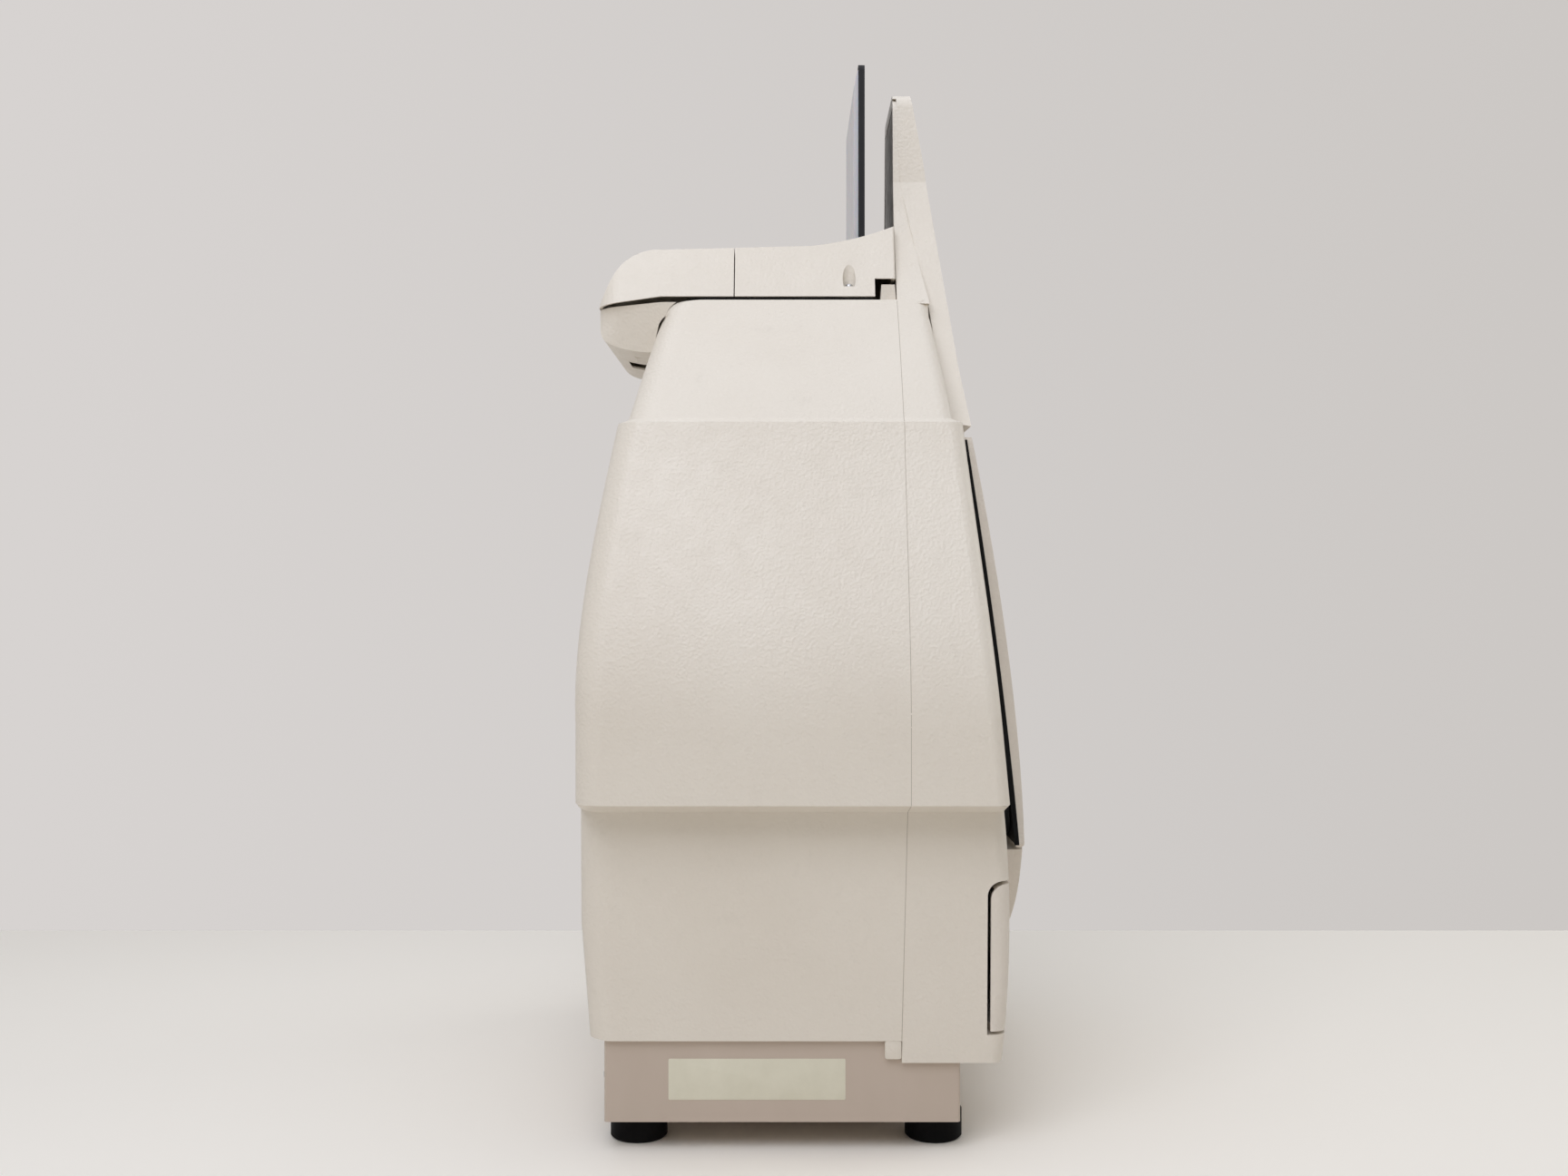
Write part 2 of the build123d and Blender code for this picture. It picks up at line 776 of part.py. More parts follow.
with BuildPart() as door_hinge_pins:
    with Locations(*hinge_planes):
        with Locations((0, 0, -clearance / 2 - hinge_length)):
            Cylinder(hinge_pin_radius, 2 * hinge_length + clearance,
                     align=(Align.CENTER, Align.CENTER, Align.MIN))
finish(door_hinge_pins.part, "door_hinge_pins")


# Drawer: wrapped front with a chin that carries on the curve of the door
def chin_level(rise):
    """Plan of the chin at a share of its height."""
    half_width = between(chin_half_width_bottom, chin_half_width_top, rise)
    front = chin_edge_front + chin_swell * (1 - rise) ** 3
    crown = between(5, door_crown, rise)
    with BuildSketch(Plane.XY.offset(between(chin_bottom, chin_top, rise))) as level:
        with BuildLine():
            ThreePointArc((-half_width, front), (0, front - crown), (half_width, front))
            Polyline((half_width, front), (half_width, chin_rear), (-half_width, chin_rear),
                     (-half_width, front))
        make_face()
    return level.sketch


with BuildPart() as drawer_front:
    add(bezel_form)
    add(drawer_zone(0), mode=Mode.INTERSECT)
    with BuildPart(mode=Mode.PRIVATE) as hollow:
        add(cabinet_form(wall, bezel_bottom + wall, neck_top - wall))
        add(side_prism((-400, drawer_bottom + wall), (0, drawer_bottom + wall),
                       (0, drawer_top - wall - drawer_corner),
                       (drawer_wrap - drawer_corner + 4, drawer_top - wall),
                       (-400, drawer_top - wall)), mode=Mode.INTERSECT)
    add(hollow.part, mode=Mode.SUBTRACT)
    loft([chin_level(0), chin_level(0.25), chin_level(0.5), chin_level(0.75), chin_level(1)])
    add(block(-300, 300, chin_clear, 0, drawer_top - 0.01, chin_top + 5), mode=Mode.SUBTRACT)
    # Posts that carry the tray
    for post_x in (-120, 120):
        add(block(post_x - 12, post_x + 12, face_drawer + wall - 1, tray_front,
                  tray_floor + 2, tray_floor + tray_wall_height - 4))
finish(drawer_front.part, "drawer_front")

with BuildPart() as drawer_tray:
    add(block(-tray_half_width, tray_half_width, tray_front, tray_rear,
              tray_floor - sheet, tray_floor + tray_wall_height))
    add(block(-tray_half_width + sheet, tray_half_width - sheet, tray_front + sheet,
              tray_rear - sheet, tray_floor, tray_floor + tray_wall_height + 5),
        mode=Mode.SUBTRACT)
finish(drawer_tray.part, "drawer_tray")

rail_middle = rail_bottom + rail_height / 2
rail_outer = liner_half_width - sheet
rail_inner = rail_outer - rail_width
rail_front = tray_front + 4
with BuildPart() as drawer_rails:
    add(block(rail_inner, rail_outer, rail_front, rail_rear, rail_bottom,
              rail_bottom + rail_height))
    add(block(rail_inner - 1, rail_inner + rail_groove, rail_front - 1, rail_rear + 1,
              rail_middle - rail_groove_height / 2, rail_middle + rail_groove_height / 2),
        mode=Mode.SUBTRACT)
    mirror(about=Plane.YZ)
finish(drawer_rails.part, "drawer_rails")

slide_half_height = rail_groove_height / 2 - slide_gap
with BuildPart() as drawer_slides:
    add(block(tray_half_width, rail_inner + rail_groove - slide_gap, rail_front + 2,
              rail_rear - 8, rail_middle - slide_half_height, rail_middle + slide_half_height))
    mirror(about=Plane.YZ)
finish(drawer_slides.part, "drawer_slides")

# Transilluminator: lamp case with a filter glass let into its top
case_top = tray_floor + case_height
case_middle = (case_front + case_rear) / 2
lamp_level = tray_floor + 30
lamp_half_length = case_half_width - 30
with BuildPart() as transilluminator_case:
    add(block(-case_half_width, case_half_width, case_front, case_rear, tray_floor, case_top))
    fillet(transilluminator_case.edges().filter_by(Axis.Z), 6)
    fillet(transilluminator_case.faces().sort_by(Axis.Z)[-1].edges(), 2)
    add(block(-case_half_width + case_wall, case_half_width - case_wall, case_front + case_wall,
              case_rear - case_wall, tray_floor + case_wall,
              case_top - filter_thickness - case_wall), mode=Mode.SUBTRACT)
    add(block(-filter_half_width + 6, filter_half_width - 6, case_middle - filter_half_depth + 6,
              case_middle + filter_half_depth - 6, case_top - 20, case_top + 5),
        mode=Mode.SUBTRACT)
    add(block(-filter_half_width, filter_half_width, case_middle - filter_half_depth,
              case_middle + filter_half_depth, case_top - filter_thickness, case_top + 5),
        mode=Mode.SUBTRACT)
    for end in (-1, 1):
        with Locations((end * (lamp_half_length + 4), case_middle, tray_floor + 1)):
            Box(8, lamp_count * lamp_pitch, 40, align=(Align.CENTER, Align.CENTER, Align.MIN))
finish(transilluminator_case.part, "transilluminator_case")

with BuildPart() as uv_filter_glass:
    add(block(-filter_half_width, filter_half_width, case_middle - filter_half_depth,
              case_middle + filter_half_depth, case_top - filter_thickness, case_top))
finish(uv_filter_glass.part, "uv_filter_glass")

with BuildPart() as uv_lamps:
    with BuildSketch(Plane.YZ.offset(-lamp_half_length)):
        with Locations((case_middle, lamp_level)):
            with GridLocations(lamp_pitch, 1, lamp_count, 1):
                Circle(lamp_radius)
    extrude(amount=2 * lamp_half_length)
finish(uv_lamps.part, "uv_lamps")

with BuildPart() as lamp_ballast:
    add(block(-90, 90, case_middle - 30, case_middle + 30, tray_floor + case_wall,
              tray_floor + case_wall + 14))
finish(lamp_ballast.part, "lamp_ballast")

# Darkroom: sheet-metal box that stands on the deck, open towards the door and the drawer
deck_top = chassis_top + deck_thickness
liner_face = face_flare_bottom + wall + liner_gap
bay_face = drawer_wrap + drawer_gap + wall + liner_gap
shelf = drawer_top + drawer_gap + wall + liner_gap
liner_front_top = between(liner_face, face_shoulder + wall + liner_gap,
                          (liner_top - flare_bottom - wall) / (flare_height - 2 * wall))
with BuildPart() as darkroom_liner:
    add(side_prism((liner_rear, deck_top), (liner_rear, liner_top),
                   (liner_front_top, liner_top), (liner_face, flare_bottom + wall),
                   (liner_face, shelf), (bay_face, shelf), (bay_face, deck_top)))
    add(block(-liner_half_width, liner_half_width, -300, liner_rear, 0, liner_top + 10),
        mode=Mode.INTERSECT)
    add(block(-liner_half_width + sheet, liner_half_width - sheet, -300, liner_rear - sheet,
              deck_top + sheet, liner_top - sheet), mode=Mode.SUBTRACT)
    with Locations((0, camera_y, liner_top)):
        Hole(aperture_radius, depth=4 * sheet)
finish(darkroom_liner.part, "darkroom_liner")

light_top = liner_top - sheet - light_drop
light_outer = liner_half_width - sheet
with BuildPart() as epi_lights:
    with BuildSketch(Plane.XZ.offset(-camera_y - light_half_length)):
        with BuildLine():
            Polyline((light_outer, light_top), (light_outer - light_width, light_top),
                     (light_outer - light_width, light_top - 8),
                     (light_outer - 6, light_top - light_height),
                     (light_outer, light_top - light_height), close=True)
        make_face()
    extrude(amount=2 * light_half_length)
    slanted = epi_lights.faces().filter_by(lambda face: 0.2 < abs(face.normal_at().Z) < 0.95)[0]
    with Locations(slanted):
        with GridLocations(2 * light_half_length / light_lenses, 1, light_lenses, 1):
            Hole(4, depth=2)
    mirror(about=Plane.YZ)
finish(epi_lights.part, "epi_lights")

# Camera plate, filter wheel and its drive, above the darkroom
plate_top = liner_top + plate_thickness
wheel_bottom = plate_top + wheel_lift
wheel_top = wheel_bottom + wheel_thickness
wheel_x = filter_pitch_radius
tooth_module = 2 * wheel_radius / wheel_teeth
pinion_radius = tooth_module * pinion_teeth / 2
pinion_x = wheel_x + wheel_radius + pinion_radius
lens_bottom = wheel_top + lens_gap_above_wheel
bridge_top = plate_top + bridge_height
print("wheel axis", wheel_x, camera_y, "pinion axis", pinion_x, camera_y)

with BuildPart() as camera_plate:
    add(block(-bridge_half_width - 30, pinion_x + 32, camera_y - bridge_half_length - 8,
              camera_y + bridge_half_length + 8, liner_top, plate_top))
    fillet(camera_plate.edges().filter_by(Axis.Z), 6)
    with Locations((0, camera_y, plate_top)):
        Hole(aperture_radius, depth=2 * plate_thickness)
finish(camera_plate.part, "camera_plate")

with BuildPart() as filter_wheel_shaft:
    with Locations((wheel_x, camera_y, plate_top)):
        Cylinder(2 * shaft_radius, wheel_lift - clearance,
                 align=(Align.CENTER, Align.CENTER, Align.MIN))
        Cylinder(shaft_radius, wheel_lift + wheel_thickness + 2,
                 align=(Align.CENTER, Align.CENTER, Align.MIN))
finish(filter_wheel_shaft.part, "filter_wheel_shaft")


def gear(centre_x, teeth, bore):
    """Spur gear of the filter drive with straight-flanked teeth."""
    radius = tooth_module * teeth / 2
    root = radius - 1.2 * tooth_module
    tip = radius + 0.9 * tooth_module
    half_pitch = (pi * tooth_module / 2 - tooth_backlash) / 2
    half_root = half_pitch + 0.36 * (radius - root)
    half_tip = half_pitch - 0.36 * (tip - radius)
    with BuildPart() as wheel:
        with BuildSketch(Plane.XY.offset(wheel_bottom)):
            with Locations((centre_x, camera_y)):
                Circle(root)
                with PolarLocations(0, teeth):
                    Polygon((root - 0.5, -half_root), (tip, -half_tip), (tip, half_tip),
                            (root - 0.5, half_root), align=None)
                Circle(bore, mode=Mode.SUBTRACT)
        extrude(amount=wheel_thickness)
    return wheel.part


with BuildPart() as filter_wheel:
    add(gear(wheel_x, wheel_teeth, shaft_radius + shaft_gap))
    for low, radius in ((wheel_bottom - 1, filter_radius - 2), (wheel_bottom + 2, filter_radius)):
        with BuildSketch(Plane.XY.offset(low)):
            with Locations((wheel_x, camera_y)):
                with PolarLocations(filter_pitch_radius, filter_count, start_angle=180):
                    Circle(radius)
        extrude(amount=2 * wheel_thickness, mode=Mode.SUBTRACT)
finish(filter_wheel.part, "filter_wheel")

with BuildPart() as filters:
    with BuildSketch(Plane.XY.offset(wheel_bottom + 2)):
        with Locations((wheel_x, camera_y)):
            with PolarLocations(filter_pitch_radius, filter_count, start_angle=180):
                Circle(filter_radius)
    extrude(amount=wheel_thickness - 2.5)
finish(filters.part, "filters")

motor_shaft_radius = 3
with BuildPart() as filter_pinion:
    add(gear(pinion_x, pinion_teeth, motor_shaft_radius + shaft_gap))
finish(filter_pinion.part, "filter_pinion")

bracket_level = wheel_top + 4
with BuildPart() as motor_bracket:
    add(block(pinion_x - 18, pinion_x + 28, camera_y - 20, camera_y + 20,
              bracket_level, bracket_level + sheet))
    add(block(pinion_x + 26, pinion_x + 28, camera_y - 20, camera_y + 20,
              plate_top, bracket_level + sheet))
    with Locations((pinion_x, camera_y, bracket_level + sheet)):
        Hole(motor_shaft_radius + 2, depth=2 * sheet)
finish(motor_bracket.part, "motor_bracket")

with BuildPart() as filter_motor:
    with Locations((pinion_x, camera_y, bracket_level + sheet)):
        Cylinder(17, 32, align=(Align.CENTER, Align.CENTER, Align.MIN))
        Cylinder(7, 36, align=(Align.CENTER, Align.CENTER, Align.MIN))
    with Locations((pinion_x, camera_y, wheel_bottom - 1)):
        Cylinder(motor_shaft_radius, bracket_level + sheet - wheel_bottom + 2,
                 align=(Align.CENTER, Align.CENTER, Align.MIN))
finish(filter_motor.part, "filter_motor")

# Lens with two rings turned by hand, hung under the camera from a bridge
with BuildPart() as camera_bridge:
    add(block(-bridge_half_width, bridge_half_width, camera_y - bridge_half_length,
              camera_y + bridge_half_length, plate_top, bridge_top))
    add(block(-bridge_half_width - 1, bridge_half_width + 1,
              camera_y - bridge_half_length + sheet, camera_y + bridge_half_length - sheet,
              plate_top - 1, bridge_top - sheet), mode=Mode.SUBTRACT)
    with Locations((0, camera_y, bridge_top)):
        Hole(lens_radius + 1, depth=2 * sheet)
finish(camera_bridge.part, "camera_bridge")

focus_bottom = lens_bottom + 12
zoom_bottom = focus_bottom + ring_height + 6
flange_radius = (lens_radius + ring_radius) / 2
with BuildPart() as lens_barrel:
    with Locations((0, camera_y, lens_bottom)):
        Cylinder(lens_radius, bridge_top - lens_bottom,
                 align=(Align.CENTER, Align.CENTER, Align.MIN))
    for low, high in ((lens_bottom + 4, focus_bottom - clearance),
                      (focus_bottom + ring_height + clearance, zoom_bottom - clearance),
                      (zoom_bottom + ring_height + clearance,
                       zoom_bottom + ring_height + 4)):
        with Locations((0, camera_y, low)):
            Cylinder(flange_radius, high - low, align=(Align.CENTER, Align.CENTER, Align.MIN))
    with Locations((0, camera_y, lens_bottom)):
        Cone(lens_radius - 3, lens_radius - 10, 12,
             align=(Align.CENTER, Align.CENTER, Align.MIN), mode=Mode.SUBTRACT)
finish(lens_barrel.part, "lens_barrel")

for low, name in ((focus_bottom, "focus_ring"), (zoom_bottom, "zoom_ring")):
    with BuildPart() as ring:
        with BuildSketch(Plane.XY.offset(low)):
            with Locations((0, camera_y)):
                Circle(ring_radius)
                with PolarLocations(ring_radius, 24):
                    Circle(1.2, mode=Mode.SUBTRACT)
                Circle(lens_radius + ring_gap, mode=Mode.SUBTRACT)
        extrude(amount=ring_height)
    finish(ring.part, name)

with BuildPart() as camera_body:
    with BuildSketch(Plane.XY.offset(bridge_top)):
        with Locations((0, camera_y)):
            RectangleRounded(2 * camera_half_size, 2 * camera_half_size, 5)
    extrude(amount=camera_height)
    chamfer(camera_body.faces().sort_by(Axis.Z)[-1].edges(), 2)
    for side in (-1, 1):
        with BuildSketch(Plane.XZ.offset(-camera_y - camera_half_size - 1)):
            with Locations((side * camera_half_size, bridge_top + camera_height / 2)):
                with GridLocations(1, 8, 1, 6):
                    Rectangle(6, 3)
        extrude(amount=2 * camera_half_size + 2, mode=Mode.SUBTRACT)
    with Locations(Plane.XZ.offset(-camera_y - camera_half_size)):
        for connector_x in (-16, 16):
            with Locations((connector_x, bridge_top + 14, 0)):
                Cylinder(8, 8, align=(Align.CENTER, Align.CENTER, Align.MAX))
                Cylinder(5.5, 12, mode=Mode.SUBTRACT,
                         align=(Align.CENTER, Align.CENTER, Align.MAX))
finish(camera_body.part, "camera_body")

# Cap over the neck: a front half that stays and a rear half that opens
cap_draft = (cap_half_width - cap_half_width_high) / cap_high


def cap_form(inset, drop):
    """Outer form of the cap, or its cavity when inset is the wall and drop opens it below."""
    levels = []
    for height in (cap_bottom - 24, cap_bottom + cap_high + 6):
        half_width = cap_half_width - cap_draft * (height - cap_bottom)
        levels.append(section(height, half_width - inset, cap_front + inset, cap_rear - inset,
                              2, cap_corner - inset))
    with BuildPart() as form:
        loft(levels)
        with BuildSketch(Plane.YZ):
            with BuildLine():
                back = Spline((cap_rear - inset, lid_tip),
                              (cap_rear - 9 - inset, cap_bottom + 12),
                              (cap_rear - 23 - 0.7 * inset, cap_bottom + 34 - 0.7 * inset),
                              (cap_rear - 39 - 0.4 * inset, cap_bottom + 44.5 - 0.9 * inset),
                              (cap_rear - 59, cap_bottom + 47.5 - inset))
                Line(back @ 1, (0, cap_bottom + 51.5 - inset))
                Spline((0, cap_bottom + 51.5 - inset), (saddle_rear + 20, cap_bottom + 60 - inset),
                       (cap_front, cap_bottom + 72 - inset))
                Polyline((cap_front, cap_bottom + 72 - inset), (cap_front, cap_bottom - drop),
                         (cap_rear - 59, cap_bottom - drop), (cap_rear - inset, lid_tip))
            make_face()
        extrude(amount=flare_half_width, both=True, mode=Mode.INTERSECT)
    return form.part


cap_outer = cap_form(0, 0)
cap_cavity = cap_form(cap_wall, 20)
recess_x = cap_half_width - cap_draft * (recess_floor + recess_height - cap_bottom) + recess_radius
screen_rear = screen_front + screen_frame_thickness + screen_diffuser_thickness
with BuildPart() as top_cover_front:
    add(cap_outer)
    add(cap_cavity, mode=Mode.SUBTRACT)
    add(block(-screen_half_width - screen_gap - 3, screen_half_width + screen_gap + 3,
              screen_front - screen_gap - 3, screen_rear + screen_gap + 3,
              screen_bottom - 3, cap_bottom + 100))
    for side in (-1, 1):
        with Locations((side * recess_x, recess_y, cap_bottom)):
            Cylinder(recess_radius + 3, recess_floor + recess_height + 4 - cap_bottom,
                     align=(Align.CENTER, Align.CENTER, Align.MIN))
        with Locations((side * (cap_half_width - 9), cap_seam - 20, cap_bottom)):
            Cylinder(8, 20, align=(Align.CENTER, Align.CENTER, Align.MIN))
    add(cap_outer, mode=Mode.INTERSECT)
    for side in (-1, 1):
        with Locations((side * recess_x, recess_y, recess_floor)):
            Cylinder(recess_radius, 60, align=(Align.CENTER, Align.CENTER, Align.MIN),
                     mode=Mode.SUBTRACT)
        for foot_x, foot_y in ((recess_x - 4, recess_y), (cap_half_width - 9, cap_seam - 20)):
            with Locations((side * foot_x, foot_y, neck_top)):
                Cylinder(4.5, cap_gap + 2, align=(Align.CENTER, Align.CENTER, Align.MIN))
    add(block(-screen_half_width - screen_gap, screen_half_width + screen_gap,
              screen_front - screen_gap, screen_rear + screen_gap,
              screen_bottom, cap_bottom + 120), mode=Mode.SUBTRACT)
    add(block(-200, 200, -300, cap_notch_start, cap_bottom - 20,
              cap_bottom + cap_notch_height), mode=Mode.SUBTRACT)
    add(block(-200, 200, cap_seam - cap_seam_gap / 2, 300, cap_bottom - 40,
              cap_bottom + 120), mode=Mode.SUBTRACT)
finish(top_cover_front.part, "top_cover_front")

# Rear half of the cap with hinge knuckles at its lower rear edge
lid_axis = (cap_rear - lid_axis_inset, lid_tip + lid_axis_inset)
print("lid hinge axis Y, Z", lid_axis)


def across(radius, x_low, x_high):
    """Cylinder along X on the lid's hinge axis."""
    with BuildPart() as rod:
        with BuildSketch(Plane.YZ.offset(x_low)):
            with Locations(lid_axis):
                Circle(radius)
        extrude(amount=x_high - x_low)
    return rod.part


with BuildPart() as camera_cover:
    add(cap_outer)
    add(cap_cavity, mode=Mode.SUBTRACT)
    add(block(-200, 200, -300, cap_seam + cap_seam_gap / 2, cap_bottom - 40,
              cap_bottom + 120), mode=Mode.SUBTRACT)
    for side in (-1, 1):
        inner = side * lid_knuckle_x
        outer = side * (lid_knuckle_x + lid_knuckle_length)
        far = side * (lid_knuckle_x + 2 * lid_knuckle_length)
        add(block(min(inner, outer) - clearance, max(inner, outer) + clearance,
                  lid_axis[0] - lid_knuckle_radius - 3, cap_rear + 1, lid_tip - 5,
                  lid_axis[1] + lid_knuckle_radius + 1.5), mode=Mode.SUBTRACT)
        add(across(lid_knuckle_radius, min(outer, far) + (clearance if side > 0 else 0),
                   max(outer, far) - (0 if side > 0 else clearance)))
        add(across(lid_pin_radius + shaft_gap, min(outer, far) - 1, max(outer, far) + 1),
            mode=Mode.SUBTRACT)
finish(camera_cover.part, "camera_cover")


# Rear cowl under the lid's overhang, fixed to the back of the neck
def cowl_form(inset, lift):
    """Outer form of the cowl, or its cavity when inset is the wall and lift opens it above."""
    levels = []
    for height in (cowl_bottom - 5, cap_bottom + 20):
        half_width = cap_half_width - 12 + 10 * (height - cowl_bottom) / (cap_bottom - cowl_bottom)
        levels.append(section(height, half_width - inset, 80, cap_rear - inset,
                              2, cap_corner - inset))
    with BuildPart() as form:
        loft(levels)
        with BuildSketch(Plane.YZ):
            with BuildLine():
                rim = lid_tip - cowl_gap
                back = Spline((cap_rear - inset, rim),
                              (cap_rear - 13 - 0.8 * inset, cowl_bottom + 13 + 0.5 * inset),
                              (cap_rear - 46, cowl_bottom + inset),
                              tangents=((-0.06, -1), (-1, 0)))
                Polyline(back @ 1, (80, cowl_bottom + inset), (80, neck_top - 1 + lift),
                         (cap_rear - 59, neck_top - 1 + lift),
                         (cap_rear - inset, rim))
            make_face()
        extrude(amount=flare_half_width, both=True, mode=Mode.INTERSECT)
    return form.part


neck_skin = cabinet_form(-1.5, chassis_top, neck_top + 1.5)
lug_y = neck_rear_top + 30
with BuildPart() as rear_cowl:
    add(cowl_form(0, 0))
    add(cowl_form(3, 20), mode=Mode.SUBTRACT)
    add(neck_skin, mode=Mode.SUBTRACT)
    for side in (-1, 1):
        add(block(side * 60 - 10, side * 60 + 10, 80, lug_y, cowl_bottom + 1, cowl_bottom + 18))
        inner = side * lid_knuckle_x
        outer = side * (lid_knuckle_x + lid_knuckle_length)
        low, high = min(inner, outer), max(inner, outer)
        add(across(lid_knuckle_radius, low, high))
        add(block(low, high, lid_axis[0] - lid_knuckle_radius, lid_axis[0] + 2,
                  lid_tip - 14, lid_axis[1]))
        add(across(lid_pin_radius, low - 1, high + 1), mode=Mode.SUBTRACT)
    add(outer_form, mode=Mode.SUBTRACT)
    # Opening for cables in the cowl's floor
    add(block(-22, 22, cap_rear - 38, cap_rear - 22, cowl_bottom - 10, cowl_bottom + 12),
        mode=Mode.SUBTRACT)
finish(rear_cowl.part, "rear_cowl")

with BuildPart() as lid_hinge_pins:
    for side in (-1, 1):
        ends = (side * lid_knuckle_x, side * (lid_knuckle_x + 2 * lid_knuckle_length))
        add(across(lid_pin_radius, min(ends), max(ends)))
finish(lid_hinge_pins.part, "lid_hinge_pins")

# Conversion screen stored upright in the slot of the cap's front half
frame_rear = screen_front + screen_frame_thickness
with BuildPart() as conversion_screen_frame:
    add(block(-screen_half_width, screen_half_width, screen_front, frame_rear,
              screen_bottom, screen_top))
    fillet(conversion_screen_frame.edges().filter_by(Axis.Y).group_by(Axis.Z)[-1], 6)
finish(conversion_screen_frame.part, "conversion_screen_frame")
with BuildPart() as conversion_screen_diffuser:
    add(block(-screen_half_width + 2, screen_half_width - 2, frame_rear, screen_rear,
              screen_bottom, screen_top - screen_frame_thickness))
    top_edge = conversion_screen_diffuser.edges().filter_by(Axis.X).group_by(Axis.Z)[-1]
    chamfer(top_edge.sort_by(Axis.Y)[-1], screen_bevel, screen_diffuser_thickness - 0.8)
finish(conversion_screen_diffuser.part, "conversion_screen_diffuser")

# Mains inlet and power switch in the rear wall of the base
cutout_width = inlet_width - 8
cutout_height = inlet_height - 4


def wall_unit(centre_x, depth):
    """Body through the base's rear wall with a flange on its outside."""
    with BuildPart() as unit:
        with BuildSketch(Plane.XZ.offset(-chassis_rear - 2.5)):
            with Locations((centre_x, inlet_z)):
                RectangleRounded(inlet_width, inlet_height, 3)
        extrude(amount=2.5)
        with BuildSketch(Plane.XZ.offset(-chassis_rear)):
            with Locations((centre_x, inlet_z)):
                Rectangle(cutout_width, cutout_height)
        extrude(amount=depth)
    return unit.part


with BuildPart() as mains_inlet:
    add(wall_unit(inlet_x, 24))
    with BuildSketch(Plane.XZ.offset(-chassis_rear - 3)):
        with Locations((inlet_x, inlet_z)):
            RectangleRounded(27, 19, 2)
    extrude(amount=21, mode=Mode.SUBTRACT)
    with BuildSketch(Plane.XZ.offset(-chassis_rear)):
        with Locations((inlet_x - 7, inlet_z - 2), (inlet_x, inlet_z + 3), (inlet_x + 7, inlet_z - 2)):
            Rectangle(2, 4)
    extrude(amount=20)
finish(mains_inlet.part, "mains_inlet")

rocker_width = 22
rocker_height = 13
rocker_axis = chassis_rear - 3
with BuildPart() as switch_housing:
    add(wall_unit(switch_x, 20))
    with BuildSketch(Plane.XZ.offset(-chassis_rear - 3)):
        with Locations((switch_x, inlet_z)):
            Rectangle(rocker_width + 1, rocker_height + 1)
    extrude(amount=16, mode=Mode.SUBTRACT)
    with BuildSketch(Plane.YZ.offset(switch_x - rocker_width / 2 - 0.6)):
        with Locations((rocker_axis, inlet_z)):
            Circle(1.2)
    extrude(amount=rocker_width + 1.2)
finish(switch_housing.part, "switch_housing")

with BuildPart() as power_rocker:
    with BuildSketch(Plane.YZ.offset(switch_x - rocker_width / 2)):
        with BuildLine():
            Polyline((rocker_axis - 4, inlet_z - rocker_height / 2 + 1.5),
                     (rocker_axis + 3.5, inlet_z - rocker_height / 2 + 0.5),
                     (rocker_axis + 6, inlet_z), (rocker_axis + 6.5, inlet_z + rocker_height / 2 - 1),
                     (rocker_axis - 4, inlet_z + rocker_height / 2 - 1.5), close=True)
        make_face()
        with Locations((rocker_axis, inlet_z)):
            Circle(1.2 + shaft_gap, mode=Mode.SUBTRACT)
    extrude(amount=rocker_width)
finish(power_rocker.part, "power_rocker")

# Connector panel and fan inside the rear cover's wall
inner_rear = rear_face - wall
with BuildPart() as connector_panel:
    with BuildSketch(Plane.XZ.offset(-inner_rear)):
        with Locations((0, panel_plate_z)):
            Rectangle(2 * panel_plate_half_width, panel_plate_height)
            with GridLocations(36, 1, 3, 1):
                Rectangle(14, 12, mode=Mode.SUBTRACT)
    extrude(amount=sheet)
    # Sockets behind the cut-outs
    with BuildSketch(Plane.XZ.offset(-inner_rear - 1)):
        with Locations((0, panel_plate_z)):
            with GridLocations(36, 1, 3, 1):
                Rectangle(14, 12)
                Rectangle(10, 8, mode=Mode.SUBTRACT)
    extrude(amount=14)
    with BuildSketch(Plane.XZ.offset(-inner_rear + 1)):
        with Locations((0, panel_plate_z)):
            with GridLocations(36, 1, 3, 1):
                Rectangle(6, 3)
    extrude(amount=12)
    add(block(-panel_plate_half_width + 6, panel_plate_half_width - 6, inner_rear - 14,
              inner_rear - 11, panel_plate_z - 12, panel_plate_z + 12))
finish(connector_panel.part, "connector_panel")

fan_radius = fan_half_size - 3
fan_axle_radius = 3
with BuildPart() as fan_frame:
    with BuildSketch(Plane.XZ.offset(-inner_rear)):
        with Locations((fan_x, fan_z)):
            RectangleRounded(2 * fan_half_size, 2 * fan_half_size, 4)
            Circle(fan_radius, mode=Mode.SUBTRACT)
    extrude(amount=fan_depth)
    # Spokes, motor plate and axle on the inner side
    with BuildSketch(Plane.XZ.offset(-inner_rear + fan_depth - 2)):
        with Locations((fan_x, fan_z)):
            Circle(15)
            with PolarLocations(0, 4, start_angle=45):
                Rectangle(fan_radius + 1, 4, align=(Align.MIN, Align.CENTER))
    extrude(amount=2)
    with BuildSketch(Plane.XZ.offset(-inner_rear + 3)):
        with Locations((fan_x, fan_z)):
            Circle(fan_axle_radius)
    extrude(amount=fan_depth - 4)
finish(fan_frame.part, "fan_frame")

